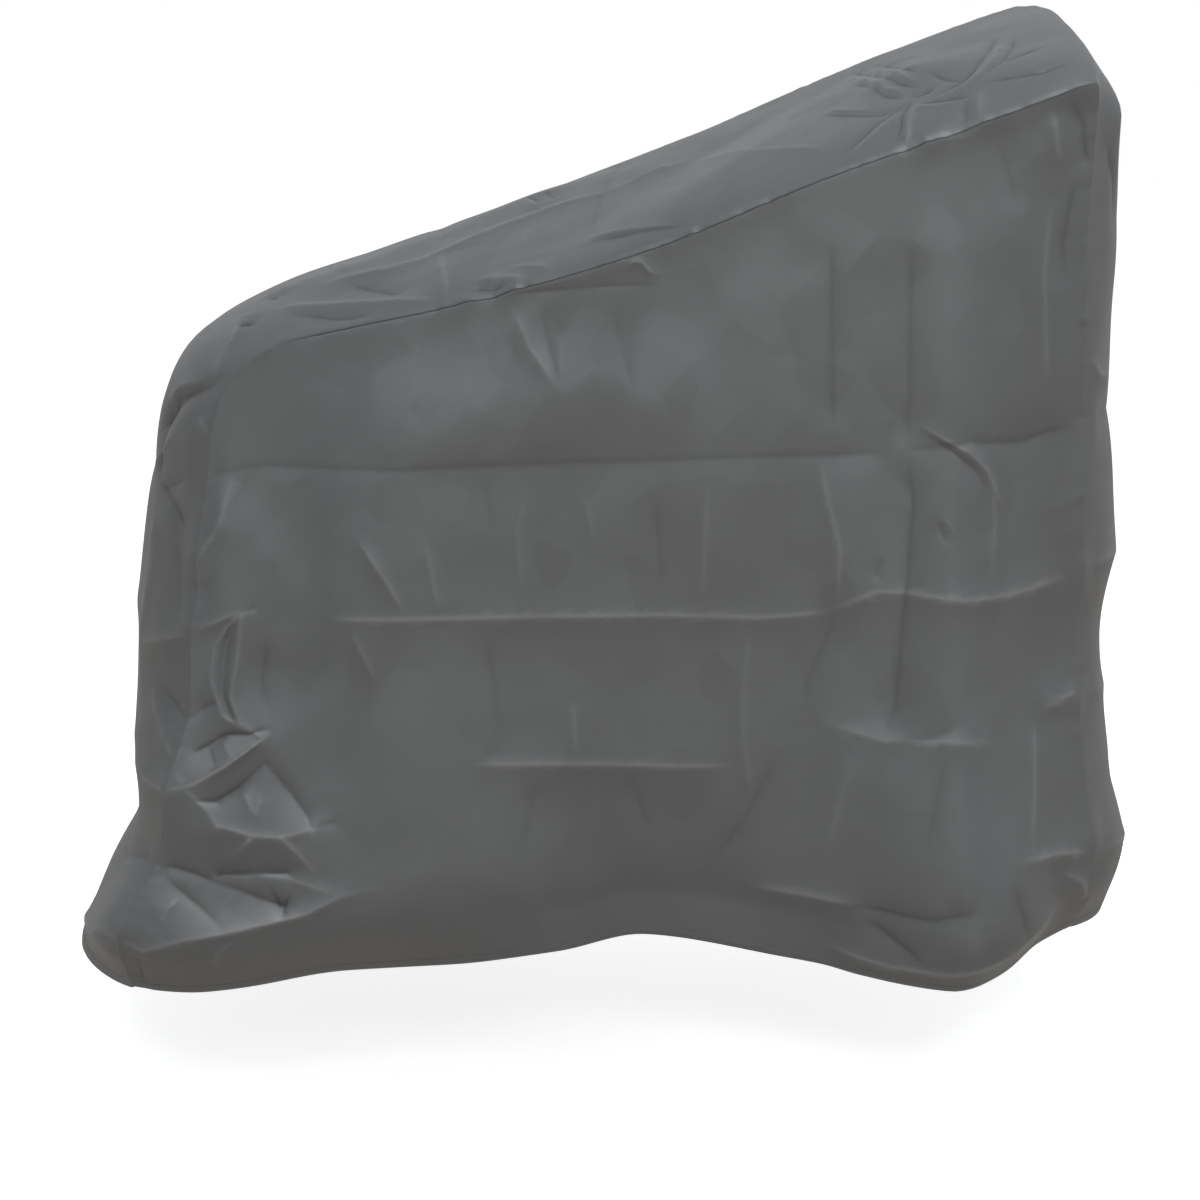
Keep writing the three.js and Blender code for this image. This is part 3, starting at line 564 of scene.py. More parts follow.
def seam_point(side, length):
    """Points of the right or the left seam."""
    x, z, right, left, rise, lead = (
        column_at(SECTIONS, name, length) for name in ("x", "z", "right", "left", "rise", "lead"))
    if side == RIGHT:
        return np.stack([x, -right, z], -1)
    return np.stack([x + lead, left, z + rise], -1)


# The length over which a seam's direction is taken
SEAM_PROBE = 0.004


def seam_frame(side, length):
    """Into the cover along the seam's mitre, and across that mitre towards the side."""
    ahead, behind = np.minimum(length + SEAM_PROBE, SEAM_END), np.maximum(length - SEAM_PROBE, 0)
    way = seam_point(side, ahead) - seam_point(side, behind)
    flat = np.hypot(way[..., 0], way[..., 2])
    strip_out = np.stack([-way[..., 2] / flat, np.zeros_like(flat), way[..., 0] / flat], -1)
    side_out = np.array([0.0, side, 0.0])
    return -(strip_out + side_out) / math.sqrt(2), (side_out - strip_out) / math.sqrt(2)


def pucker(side, length):
    """How far the sewing draws the seam in, unevenly along it."""
    turn = 2 * math.pi * length
    step, shift = PUCKER["phases"]
    waves = sum(np.sin(turn / wave + step * k + side) for k, wave in enumerate(PUCKER["waves"]))
    short, long = PUCKER["patches"]
    patches = (1 + np.sin(turn / short + side) * np.sin(turn / long + shift)) / 2
    return PUCKER["depth"] * patches * waves / len(PUCKER["waves"])


def line_distance(a, b, points):
    """How far each place lies from a line through points, and the length along the line to its foot."""
    best, along, start = np.full(a.shape, np.inf), np.zeros(a.shape), 0.0
    for first, second in zip(points[:-1], points[1:]):
        step = np.linalg.norm(second - first)
        way = (second - first) / step
        foot = np.clip((a - first[0]) * way[0] + (b - first[1]) * way[1], 0, step)
        away = np.hypot(a - first[0] - foot * way[0], b - first[1] - foot * way[1])
        along = np.where(away < best, start + foot, along)
        best = np.minimum(best, away)
        start += step
    return best, along, start


def sloped(away, reach, edge):
    """Straight slopes from a rounded crest down to a soft foot."""
    left = 1 - (np.hypot(away, edge) - edge) / reach
    return (left + np.hypot(left, FOLD_FOOT)) / 2


def folded(folds, a, b):
    """How far the main folds move the cloth."""
    total = np.zeros(a.shape)
    for a0, b0, a1, b1, width, out0, out1 in zip(*folds.values()):
        away, along, length = line_distance(a, b, np.array([(a0, b0), (a1, b1)]))
        height = out0 + (out1 - out0) * along / length
        total += height * sloped(away, FOLD_REACH * width, FOLD_EDGE * width)
    return total


def ends_faded(along, length):
    """How far a crease has come up along its length from its nearer end."""
    fade = min(CREASE_ENDS["most"], length / CREASE_ENDS["parts"])
    return ease(np.minimum(along, length - along), 0, fade)


def creased(creases, a, b):
    """How far the creases move the cloth: slopes that meet in a narrow crest and fade at the ends."""
    total = np.zeros(a.shape)
    for out, reach, points in creases:
        away, along, length = line_distance(a, b, points)
        wave = np.sin(along / (2 * reach) + CREASE_WAVER["phase"] * points[0, 0])
        height = out * ends_faded(along, length) * (1 + CREASE_WAVER["share"] * wave)
        total += height * np.exp((CREASE_EDGE - np.hypot(away, CREASE_EDGE)) / reach)
    return total


def net_line(line, a, b):
    """Each place's distance from a line of a net, the length along it, and how far it stands out there."""
    places, heights = line[:, :2], line[:, 2]
    away, along, _ = line_distance(a, b, places)
    run = np.concatenate([[0], np.cumsum(np.linalg.norm(np.diff(places, axis=0), axis=1))])
    return away, along, np.interp(along, run, heights)


def netted(lines, a, b):
    """How far a net of crease lines moves the cloth, which runs straight from each line to the next."""
    total, pull = np.zeros(a.shape), np.full(a.shape, 1 / NET_FREE)
    for line in lines:
        away, _, height = net_line(line, a, b)
        weight = np.maximum(1 / np.hypot(away, CREASE_EDGE) - 1 / NET_REACH, 0)
        total += weight * height
        pull += weight
    return total / pull


def crease_wear_and_painted_light(creases, a, b):
    """Crests of creases paler, wear and painted highlight, and bottoms darker, painted shade, from 1 to -1.
    """
    total = np.zeros(a.shape)
    for out, reach, points in creases:
        away, along, length = line_distance(a, b, points)
        full = FULLY_PAINTED_AT["creases"] * (1 if out > 0 else np.clip(reach / SHADED_REACH, SHADED_SHARE, 1))
        width = np.clip(PAINTED_LINE_WIDTH["share"] * reach, PAINTED_LINE_WIDTH["least"], PAINTED_LINE_WIDTH["most"])
        total += np.clip(out / full, -1, 1) * ends_faded(along, length) * np.exp(-((away / width) ** 2))
    return np.clip(total, -1, 1)


def net_wear_and_painted_light(lines, a, b):
    """The same of a net of crease lines."""
    total = np.zeros(a.shape)
    for line in lines:
        away, _, height = net_line(line, a, b)
        total += np.clip(height / FULLY_PAINTED_AT["facets"], -1, 1) * np.exp(-((away / PAINTED_LINE_WIDTH["most"]) ** 2))
    return np.clip(total, -1, 1)


def sharp_lines(creases, net, reach):
    """The lines whose slopes reach no further than this."""
    return [points for _, own, points in creases if own <= reach] + (net if NET_REACH <= reach else [])


def near_any(lines, a, b, within):
    """Which places lie near any of some lines."""
    near = np.zeros(a.shape, bool)
    for line in lines:
        near |= line_distance(a, b, line[:, :2])[0] < within
    return near


def rippled(seed, a, b):
    """Soft waviness in all directions."""
    rng = np.random.default_rng(seed)
    total = np.zeros(a.shape)
    for wavelength, height in zip(*RIPPLES.values()):
        for _ in range(RIPPLES_IN_EACH):
            angle, phase = rng.uniform(0, 2 * math.pi, 2)
            turn = 2 * math.pi / (wavelength * rng.uniform(*RIPPLE_SPREAD))
            total += height / RIPPLES_IN_EACH**0.5 * np.sin(
                turn * (a * math.cos(angle) + b * math.sin(angle)) + phase)
    return total


class Side:
    """A side of the cover: u runs from the rear seam to the front one, v from the hem to the top seam."""

    cells = (136, 116)

    def __init__(self, side, hem, folds, creases, net):
        self.side, self.folds, self.creases, self.net = side, folds, creases, net
        self.outward = -side
        feet = [seam_point(side, np.array(length)) for length in (0.0, SEAM_END)]
        rows = {
            "x": np.concatenate([[feet[0][0]], hem["x"], [feet[1][0]]]),
            "y": np.concatenate([[abs(feet[0][1])], hem["y"], [abs(feet[1][1])]]),
            "z": np.concatenate([[feet[0][2]], hem["z"], [feet[1][2]]]),
            "flare": np.concatenate([[0], hem["flare"], [0]]),
        }
        self.hem = measured(rows, "x", "y", "z")
        self.low = np.array([-TURN_COLUMNS / self.cells[0], -HEM_ROWS / self.cells[1]])
        self.high = np.array([1 + TURN_COLUMNS / self.cells[0], 1 + TURN_COLUMNS / self.cells[1]])

    def along_hem(self, column, u):
        return column_at(self.hem, column, u * self.hem["length"][-1])

    def bottom(self, u):
        x, y, z = (self.along_hem(column, u) for column in "xyz")
        return np.stack([x, self.side * y, z], -1)

    def top(self, u):
        return seam_point(self.side, REAR_CORNER + (FRONT_CORNER - REAR_CORNER) * u)

    def drop(self, u):
        return np.linalg.norm(self.top(u) - self.bottom(u), axis=-1)

    def raised(self, u, v):
        """Heights of the pattern's rows: the hem's lie evenly above it, the others share the rest."""
        hem_share = HEM_ROWS / self.cells[1]
        hem_top = HEM_ROWS * HEM_STEP / self.drop(u)
        above = hem_top + (1 - hem_top) * (v - hem_share) / (1 - hem_share)
        return np.where(v < hem_share, hem_top * v / hem_share, above)

    def shape(self, u, v):
        """Where the cloth hangs: a patch between its seams and its hem, moved out by its folds."""
        def ruled(s):
            return mix(self.bottom(s), self.top(s), v)

        rear = seam_point(self.side, REAR_CORNER * v)
        front = seam_point(self.side, SEAM_END + (FRONT_CORNER - SEAM_END) * v)
        point = ruled(u) + mix(rear, front, u) - mix(ruled(np.zeros_like(u)), ruled(np.ones_like(u)), u)
        fade = SEAM_FADE["side"]
        inside = ease(u, 0, fade) * ease(1 - u, 0, fade) * ease(1 - v, 0, fade)
        height = point[..., 2] - self.along_hem("z", u)
        above = sloped(np.maximum(height - TUCK["height"], 0), TUCK["fade"], CREASE_EDGE)
        tuck = np.minimum(height / TUCK["height"], above)
        soft = inside * folded(self.folds, point[..., 0], point[..., 2])
        point[..., 1] += self.side * (soft + self.along_hem("flare", u) * tuck)
        return point

    def pattern(self, point, u, v):
        """Places on the flat cloth, for the weave."""
        return np.stack([point[..., 0], point[..., 2]], -1)

    def relief(self, point, u, v):
        """How far creases, and facets and ripples, move the cloth."""
        a, b = point[..., 0], point[..., 2]
        return creased(self.creases, a, b), netted(self.net, a, b) + rippled(RIPPLE_SEEDS[self.side], a, b)

    # Wear and painted light of the creases: paler crests, painted shade in the troughs
    def painted_light_and_wear(self, point, u, v):
        a, b = point[..., 0], point[..., 2]
        return np.clip(crease_wear_and_painted_light(self.creases, a, b) + net_wear_and_painted_light(self.net, a, b), -1, 1)

    def near_crease(self, point, u, v, within, reach):
        lines = sharp_lines(self.creases, self.net, reach)
        return near_any(lines, point[..., 0], point[..., 2], within)

    def seams(self, u, v):
        """Each seam's side, running length and distance at each point of the cloth."""
        width = np.linalg.norm(self.shape(np.ones_like(u), v) - self.shape(np.zeros_like(u), v), axis=-1)
        return [
            (self.side, REAR_CORNER * v, u * width),
            (self.side, SEAM_END + (FRONT_CORNER - SEAM_END) * v, (1 - u) * width),
            (self.side, REAR_CORNER + (FRONT_CORNER - REAR_CORNER) * u, (1 - v) * self.drop(u)),
        ]

    def edges(self, u, v):
        """How far each point lies past a seam's edge, as a share of the turned part, and past the hem's."""
        past = np.stack([u / self.low[0], (u - 1) / (self.high[0] - 1), (v - 1) / (self.high[1] - 1)])
        return np.maximum(past, 0), np.maximum(-v, 0)


class Gusset:
    """The long strip: u runs from the rear hem to the front hem, v across from right to left."""

    side = 0
    outward = 1
    cells = (330, 58)

    def __init__(self):
        self.low = np.array([-HEM_ROWS / self.cells[0], -TURN_COLUMNS / self.cells[1]])
        self.high = 1 - self.low

    def raised(self, u, v):
        return v

    def length(self, u):
        """Running lengths of the pattern's rows: the hems' lie evenly, the others share the rest."""
        hem_share, hem_length = HEM_ROWS / self.cells[0], HEM_ROWS * HEM_STEP
        nearest = np.minimum(u, 1 - u)
        between = hem_length + (SEAM_END / 2 - hem_length) * (nearest - hem_share) / (0.5 - hem_share)
        from_end = np.where(nearest < hem_share, hem_length * nearest / hem_share, between)
        return np.where(u < 0.5, from_end, SEAM_END - from_end)

    def shares(self, length):
        """How far each section belongs to the top, the rear and the front."""
        past_rear = ease(length - REAR_CORNER, 0, CORNER_REACH["rear"])
        top = past_rear * ease(FRONT_CORNER - length, 0, CORNER_REACH["front"])
        rear = ease(REAR_CORNER - length, 0, CORNER_REACH["rear"])
        front = ease(length - FRONT_CORNER, 0, CORNER_REACH["front"])
        return past_rear, top, rear, front

    def shape(self, u, v):
        """Where the strip hangs: bulging off the seams, rolled over the right one, and folded."""
        length = self.length(u)
        first, second = seam_point(RIGHT, length), seam_point(LEFT, length)
        past_rear, top, rear, front = self.shares(length)
        before_nose = ease(FRONT_CORNER + SHOULDER["past"] - length, 0, SHOULDER["past"])
        shoulder = past_rear * before_nose * ease(first[..., 0], SHOULDER["start_x"], SHOULDER["end_x"])
        point = mix(first, second, v)
        bulge = 1 - np.abs(2 * v - 1) ** BULGE_FULLNESS
        point[..., 0] += bulge * column_at(SECTIONS, "fore", length)
        point[..., 2] += bulge * column_at(SECTIONS, "up", length)
        point[..., 2] += SHOULDER["height"] * shoulder * (1 - np.exp(-v / SHOULDER["reach"])) * (1 - v)
        inside = ease(v, 0, SEAM_FADE["gusset"]) * ease(1 - v, 0, SEAM_FADE["gusset"])
        x, y, z = point[..., 0].copy(), point[..., 1], point[..., 2].copy()
        point[..., 2] += inside * top * folded(TOP_FOLDS, x, y)
        point[..., 0] += inside * (front * folded(FRONT_FOLDS, y, z) - rear * folded(REAR_FOLDS, y, z))
        return point

    def pattern(self, point, u, v):
        return np.stack([self.length(u), point[..., 1]], -1)

    def stretches(self, point, u):
        """The top, rear and front: their share of each place, creases and net, and the plane of these."""
        x, y, z = np.moveaxis(point, -1, 0)
        length = self.length(u)
        over = ease(length - REAR_CORNER, -CORNER_BLEND, CORNER_BLEND)
        past = ease(length - FRONT_CORNER, -CORNER_BLEND / 2, CORNER_BLEND / 2)
        return (
            (over * (1 - past), TOP_CREASES, [], x, y),
            (1 - over, REAR_CREASES, REAR_NET, y, z),
            (past, FRONT_CREASES, [], y, z),
        )

    def relief(self, point, u, v):
        soft = rippled(RIPPLE_SEEDS["gusset"], self.length(u), point[..., 1])
        stretches = self.stretches(point, u)
        creases = sum(share * creased(lines, a, b) for share, lines, _, a, b in stretches)
        return creases, soft + sum(share * netted(net, a, b) for share, _, net, a, b in stretches)

    # Wear and painted light of the creases: paler crests, painted shade in the troughs
    def painted_light_and_wear(self, point, u, v):
        return sum(
            share * np.clip(crease_wear_and_painted_light(creases, a, b) + net_wear_and_painted_light(net, a, b), -1, 1)
            for share, creases, net, a, b in self.stretches(point, u))

    def near_crease(self, point, u, v, within, reach):
        return np.any([
            (share > 0) & near_any(sharp_lines(creases, net, reach), a, b, within)
            for share, creases, net, a, b in self.stretches(point, u)], axis=0)

    def seams(self, u, v):
        length = self.length(u)
        width = np.linalg.norm(seam_point(LEFT, length) - seam_point(RIGHT, length), axis=-1)
        return [(RIGHT, length, v * width), (LEFT, length, (1 - v) * width)]

    def edges(self, u, v):
        past = np.stack([v / self.low[1], (v - 1) / (self.high[1] - 1)])
        return np.maximum(past, 0), np.maximum(np.maximum(-u, u - 1), 0)


# The share of a panel over which the cloth's slope is taken
NORMAL_PROBE = 0.002


def unfolded(panel, u, v):
    """The pattern's places on the single cloth: turned edges lie back over it."""
    if panel.side:
        return np.clip(u, 0, 1), np.clip(np.abs(v), 0, 1)
    back = np.where(u < 0, -u, np.where(u > 1, 2 - u, u))
    return back, np.clip(v, 0, 1)


def on_top(length):
    """How far each place along a seam belongs to the top, where the seam shows."""
    past_rear = ease(length - REAR_CORNER, *SEAM_SEEN["rear"])
    return past_rear * ease(FRONT_CORNER - length, *SEAM_SEEN["front"])


def seam_size(sizes, top):
    """A size of the seam, which changes from its ends to the top."""
    return sizes["ends"] + (sizes["top"] - sizes["ends"]) * top


def draped(panel, flat_u, flat_v):
    """Where a flat pattern's points hang, their outward directions, places on the cloth, wear and painted
    light.
    """
    u, flat_row = unfolded(panel, flat_u, flat_v)
    v = panel.raised(u, flat_row)
    point = panel.shape(u, v)
    ahead, behind = np.minimum(u + NORMAL_PROBE, 1), np.maximum(u - NORMAL_PROBE, 0)
    above, under = np.minimum(v + NORMAL_PROBE, 1), np.maximum(v - NORMAL_PROBE, 0)
    along_row = panel.shape(ahead, v) - panel.shape(behind, v)
    along_column = panel.shape(u, above) - panel.shape(u, under)
    normal = np.cross(along_row, along_column)
    normal *= panel.outward / np.linalg.norm(normal, axis=-1)[..., None]
    cloth_place = panel.pattern(point, u, v)

    seams = panel.seams(u, v)
    clear, clear_of_facets = (
        np.prod([ease(distance, 0, reach) for _, _, distance in seams], axis=0)
        for reach in (SEAM_CLEAR["creases"], SEAM_CLEAR["facets"]))
    creases, facets = panel.relief(point, u, v)
    hung = point + normal * (creases * clear + facets * clear_of_facets)[..., None]
    past_seams, past_hem = panel.edges(flat_u, flat_v)
    to_side = 1 if panel.side else -1
    shade = np.zeros_like(u)
    for (side, length, distance), past in zip(seams, past_seams):
        inward, apart = seam_frame(side, length)
        top = on_top(length)
        near = np.exp(-((distance / SEAM_ROUND) ** 2))
        dip = seam_size(SEAM_SINK, top) * near + SEAM_ALLOWANCE * past
        dip += pucker(side, length) * np.exp(-distance / PUCKER["reach"])
        dip -= np.interp(length, *KINKS[side].values()) * (1 - ease(distance, 0, SEAM_CLEAR["facets"]))
        half_gap = to_side * seam_size(SEAM_GAP, top) / 2 * near
        hung += inward * dip[..., None] + apart * half_gap[..., None]
        # A painted shade along the line of the top seam
        shade += SEAM_SHADE["depth"] * top * np.exp(-((distance / SEAM_SHADE["width"]) ** 2))
    hung -= normal * np.where(past_hem > 0, HEM_FOLD, 0)[..., None]
    return hung - HELD_AT, normal, cloth_place, panel.painted_light_and_wear(point, u, v) * clear - shade


# The bands in which the pattern's cells are halved, three times over: how far each goes from the creases of
# up to some reach, and from the seams
FINE_BANDS = table("crease reach seam", (0.0085, 1, 0.012), (0.0042, 1, 0), (0.0021, 0.0062, 0))

# How near to an edge of the pattern counts as on it: as a share of the turned part, and in metres
EDGE_SLACK = {"turned": 0.001, "seam": 0.00001}

# Half the side of the square that the pattern is drawn on
HALF_SQUARE = 0.5


def cloth_piece(name, panel):
    """A panel cut flat as a grid, finer along creases and seams, with clipped corners, and draped."""
    bm = bmesh.new()
    segments = np.round((panel.high - panel.low) * panel.cells).astype(int)
    bmesh.ops.create_grid(bm, x_segments=int(segments[0]), y_segments=int(segments[1]), size=HALF_SQUARE)

    def pattern():
        flat = np.array([vert.co[:2] for vert in bm.verts]) + HALF_SQUARE
        return (panel.low + flat * (panel.high - panel.low)).T

    u, v = pattern()
    past_seams, past_hem = panel.edges(u, v)
    turns = (past_seams > EDGE_SLACK["turned"]).sum(axis=0) + (past_hem > EDGE_SLACK["turned"])
    clipped = [vert for vert, turned in zip(bm.verts, turns) if turned > 1]
    bmesh.ops.delete(bm, geom=clipped, context="VERTS")

    for crease_band, reach, seam_band in zip(*FINE_BANDS.values()):
        u, v = pattern()
        on_cloth = unfolded(panel, u, v)
        row = panel.raised(*on_cloth)
        near = panel.near_crease(panel.shape(on_cloth[0], row), on_cloth[0], row, crease_band, reach)
        for _, _, distance in panel.seams(on_cloth[0], row):
            near |= distance < seam_band
        past_seams, past_hem = panel.edges(u, v)
        near &= (past_seams.max(axis=0) <= EDGE_SLACK["turned"]) & (past_hem <= EDGE_SLACK["turned"])
        for vert, flag in zip(bm.verts, near):
            vert.tag = bool(flag)
        fine = [edge for edge in bm.edges if all(vert.tag for vert in edge.verts)]
        bmesh.ops.subdivide_edges(bm, edges=fine, cuts=1, use_grid_fill=True)

    u, v = pattern()
    hung, _, cloth_place, wear_and_painted_light = draped(panel, u, v)
    on_cloth = unfolded(panel, u, v)
    past_seams, _ = panel.edges(u, v)
    seams = panel.seams(on_cloth[0], panel.raised(*on_cloth))
    to_seam = np.min([distance for _, _, distance in seams], axis=0)
    sewn = (to_seam < EDGE_SLACK["seam"]) & (past_seams.max(axis=0) <= EDGE_SLACK["turned"])
    bm.verts.index_update()
    weave = bm.loops.layers.uv.new("cloth")
    # Per point: the creases' wear and painted highlight and shade, and the top seam's painted shade
    painted_light_and_wear = bm.verts.layers.float.new("painted_light_and_wear")
    for vert, place, share in zip(bm.verts, hung, wear_and_painted_light):
        vert.co = place
        vert[painted_light_and_wear] = share
    for edge in bm.edges:
        edge.smooth = not all(sewn[vert.index] for vert in edge.verts)
    for face in bm.faces:
        face.smooth = True
        for loop in face.loops:
            loop[weave].uv = cloth_place[loop.vert.index]
    if panel.outward < 0:
        bmesh.ops.reverse_faces(bm, faces=bm.faces[:])
    piece = as_object(name, bm)
    thickness = piece.modifiers.new("cloth thickness", "SOLIDIFY")
    thickness.thickness = CLOTH
    thickness.offset = -1
    return piece


def as_object(name, bm):
    """A finished mesh as an object at the origin."""
    mesh = bpy.data.meshes.new(name)
    bm.to_mesh(mesh)
    bm.free()
    piece = bpy.data.objects.new(name, mesh)
    bpy.context.scene.collection.objects.link(piece)
    return piece


def hem_lines(panel):
    """Pattern places of the stitched line above each hem of a panel."""
    above, samples = STITCH["above_hem"] / HEM_STEP, HEM_LINE["samples"]
    ends = HEM_LINE["side_ends" if panel.side else "gusset_ends"]
    along = np.linspace(ends, 1 - ends, samples)
    if panel.side:
        return [(along, np.full(samples, above / panel.cells[1]))]
    row = np.full(samples, above / panel.cells[0])
    return [(row, along), (1 - row, along)]


def stitched_hem(name, panel):
    """Short stitches of thread along a panel's hems, each one sunk in the cloth at its ends."""
    bm = bmesh.new()
    for u, v in hem_lines(panel):
        line, out, _, _ = draped(panel, u, v)
        run = np.concatenate([[0], np.cumsum(np.linalg.norm(np.diff(line, axis=0), axis=1))])
        for start in np.arange(0, run[-1] - STITCH["pitch"], STITCH["pitch"]):
            spots = [Vector([np.interp(start + step, run, line[:, k]) for k in range(3)])
                     for step in (0, STITCH["length"])]
            up = Vector([np.interp(start, run, out[:, k]) for k in range(3)])
            way = (spots[1] - spots[0]).normalized()
            across = up.cross(way).normalized()
            turned = Matrix((way, across, way.cross(across))).transposed().to_4x4()
            middle = Matrix.Translation((spots[0] + spots[1]) / 2)
            size = Matrix.Diagonal((STITCH["length"] / 2, STITCH["thick"] / 2, STITCH["thick"] / 2, 1))
            bmesh.ops.create_icosphere(bm, subdivisions=1, radius=1, matrix=middle @ turned @ size)
    for face in bm.faces:
        face.smooth = True
    return as_object(name, bm)


class Socket:
    """A shader's value: sums written with it add Math nodes."""

    def __init__(self, nodes, socket):
        self.nodes, self.socket = nodes, socket

    def maths(self, operation, *values):
        return self.nodes.add("ShaderNodeMath", {"operation": operation}, dict(enumerate(values)))

    def __add__(self, other):
        return self.maths("ADD", self, other)

    def __sub__(self, other):
        return self.maths("SUBTRACT", self, other)

    def __rsub__(self, other):
        return self.maths("SUBTRACT", other, self)

    def __mul__(self, other):
        return self.maths("MULTIPLY", self, other)

    __radd__ = __add__
    __rmul__ = __mul__

    def sine(self):
        return self.maths("SINE", self)

    def size(self):
        return self.maths("ABSOLUTE", self)


class Nodes:
    """A node tree that nodes are added to by type, settings and inputs."""

    def __init__(self, tree):
        self.tree = tree
        tree.nodes.clear()

    def add(self, kind, settings, inputs, output=0):
        node = self.tree.nodes.new(kind)
        for name, value in settings.items():
            setattr(node, name, value)
        for name, value in inputs.items():
            if isinstance(value, Socket):
                self.tree.links.new(value.socket, node.inputs[name])
            else:
                node.inputs[name].default_value = value
        return Socket(self, node.outputs[output]) if node.outputs else None


def new_material(name):
    material = bpy.data.materials.new(name)
    material.use_nodes = True
    return material, Nodes(material.node_tree)


def mixed(nodes, share, first, second):
    """A colour between two others."""
    return nodes.add("ShaderNodeMix", {"data_type": "RGBA"}, {0: share, 6: first, 7: second}, 2)


# Finishes: linear colours, and the pitch and depth of what the surface shows
GREY = {
    "dark": (0.080, 0.083, 0.085, 1),
    "light": (0.098, 0.102, 0.105, 1),
    # Crests' wear and painted highlight, and painted shade in troughs and along the top seam
    "painted_light_and_wear": (0.190, 0.195, 0.199, 1),
    "painted_shade": (0.040, 0.041, 0.042, 1),
    "thread": (0.075, 0.078, 0.080, 1),
}
# How far crests go paler, wear and painted highlight, and troughs and the top seam darker, painted shade
PAINTED_LINE_MIX = 0.75
WEAVE = {"pitch": 0.0008, "depth": 0.00005, "strength": 0.6}
CRINKLE = {"scale": 30, "detail": 4.0, "roughness": 0.55, "middle": 0.5, "depth": 0.0006, "strength": 0.5}
CLOUD = {"scale": 5.5, "detail": 3.0}
# Small flat facets between the creases: how many to the metre, how far they tilt, how soft their edges are
FACETS = ((8.0, 0.09, 0.16), (21.0, 0.085, 0.12))
# The coating's roughness, what clouds and threads add to it, and its gloss
COATING = {"roughness": 0.40, "cloudy": 0.08, "woven": 0.02, "gloss": 0.8}
THREAD = {"twist": 2400.0, "roughness": 0.6}


def tilted_facets(nodes, place):
    """The cloth's outward direction, tilted a little from facet to facet."""
    outward = nodes.add("ShaderNodeNewGeometry", {}, {}, "Normal")
    for scale, tilt, softness in FACETS:
        facets = nodes.add("ShaderNodeTexVoronoi", {"feature": "SMOOTH_F1"}, {
            "Vector": place, "Scale": scale, "Smoothness": softness}, "Color")
        leaning = nodes.add("ShaderNodeVectorMath", {"operation": "MULTIPLY_ADD"}, {
            0: facets, 1: (tilt,) * 3, 2: (-tilt / 2,) * 3})
        outward = nodes.add("ShaderNodeVectorMath", {"operation": "ADD"}, {0: outward, 1: leaning})
    return nodes.add("ShaderNodeVectorMath", {"operation": "NORMALIZE"}, {0: outward})


def coated_cloth():
    """Grey woven cloth with a thin satin coating, finely crinkled."""
    material, nodes = new_material("coated_cloth")
    cloth = nodes.add("ShaderNodeUVMap", {"uv_map": "cloth"}, {})
    warp = nodes.add("ShaderNodeSeparateXYZ", {}, {0: cloth}, 0)
    weft = nodes.add("ShaderNodeSeparateXYZ", {}, {0: cloth}, 1)
    turn = 2 * math.pi / WEAVE["pitch"]
    threads = (warp * turn).sine() * (weft * turn).sine()
    place = nodes.add("ShaderNodeTexCoord", {}, {}, "Object")
    cloud = nodes.add("ShaderNodeTexNoise", {}, {
        "Vector": place, "Scale": CLOUD["scale"], "Detail": CLOUD["detail"]})
    crinkle = nodes.add("ShaderNodeTexNoise", {}, {
        "Vector": place,
        "Scale": CRINKLE["scale"],
        "Detail": CRINKLE["detail"],
        "Roughness": CRINKLE["roughness"],
    })
    woven = nodes.add("ShaderNodeBump", {}, {
        "Strength": WEAVE["strength"],
        "Distance": WEAVE["depth"],
        "Height": threads,
        "Normal": tilted_facets(nodes, place),
    })
    crinkled = nodes.add("ShaderNodeBump", {}, {
        "Strength": CRINKLE["strength"],
        "Distance": CRINKLE["depth"],
        "Height": (crinkle - CRINKLE["middle"]).size(),
        "Normal": woven,
    })
    # Wear and painted light: crests painted paler, troughs and the top seam painted darker as shade
    painted_light_and_wear = nodes.add("ShaderNodeAttribute", {"attribute_name": "painted_light_and_wear"}, {}, "Fac")
    grey = mixed(nodes, cloud, GREY["dark"], GREY["light"])
    paler = mixed(nodes, painted_light_and_wear * PAINTED_LINE_MIX, grey, GREY["painted_light_and_wear"])
    shader = nodes.add("ShaderNodeBsdfPrincipled", {}, {
        "Base Color": mixed(nodes, painted_light_and_wear * -PAINTED_LINE_MIX, paler, GREY["painted_shade"]),
        "Roughness": COATING["roughness"] + cloud * COATING["cloudy"] + threads * COATING["woven"],
        "Specular IOR Level": COATING["gloss"],
        "Normal": crinkled,
    })
    nodes.add("ShaderNodeOutputMaterial", {}, {"Surface": shader})
    return material


def sewing_thread():
    """Grey polyester thread, with its twist in fine bands."""
    material, nodes = new_material("sewing_thread")
    place = nodes.add("ShaderNodeTexCoord", {}, {}, "Object")
    twist = nodes.add("ShaderNodeTexNoise", {}, {"Vector": place, "Scale": THREAD["twist"]})
    shader = nodes.add("ShaderNodeBsdfPrincipled", {}, {
        "Base Color": mixed(nodes, twist, GREY["thread"], GREY["light"]),
        "Roughness": THREAD["roughness"],
    })
    nodes.add("ShaderNodeOutputMaterial", {}, {"Surface": shader})
    return material


PANELS = {
    "side_panel_right": Side(RIGHT, RIGHT_HEM, RIGHT_FOLDS, RIGHT_CREASES, RIGHT_NET),
    "side_panel_left": Side(LEFT, LEFT_HEM, LEFT_FOLDS, LEFT_CREASES, LEFT_NET),
    "gusset": Gusset(),
}

cloth, thread = coated_cloth(), sewing_thread()
for node, panel in PANELS.items():
    sheet = cloth_piece(f"{node}_cloth", panel)
    sheet.data.materials.append(cloth)
    stitches = stitched_hem(f"{node}_hem_stitches", panel)
    stitches.data.materials.append(thread)
    for piece in (sheet, stitches):
        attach(piece, "root")
    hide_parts(node)

# A plain pale floor, well below the hem, with a glow that keeps the cover's shadow on it faint
FLOOR = {"drop": 0.16, "radius": 9.0, "sides": 96, "white": 0.80, "glow": 0.78, "roughness": 0.9}


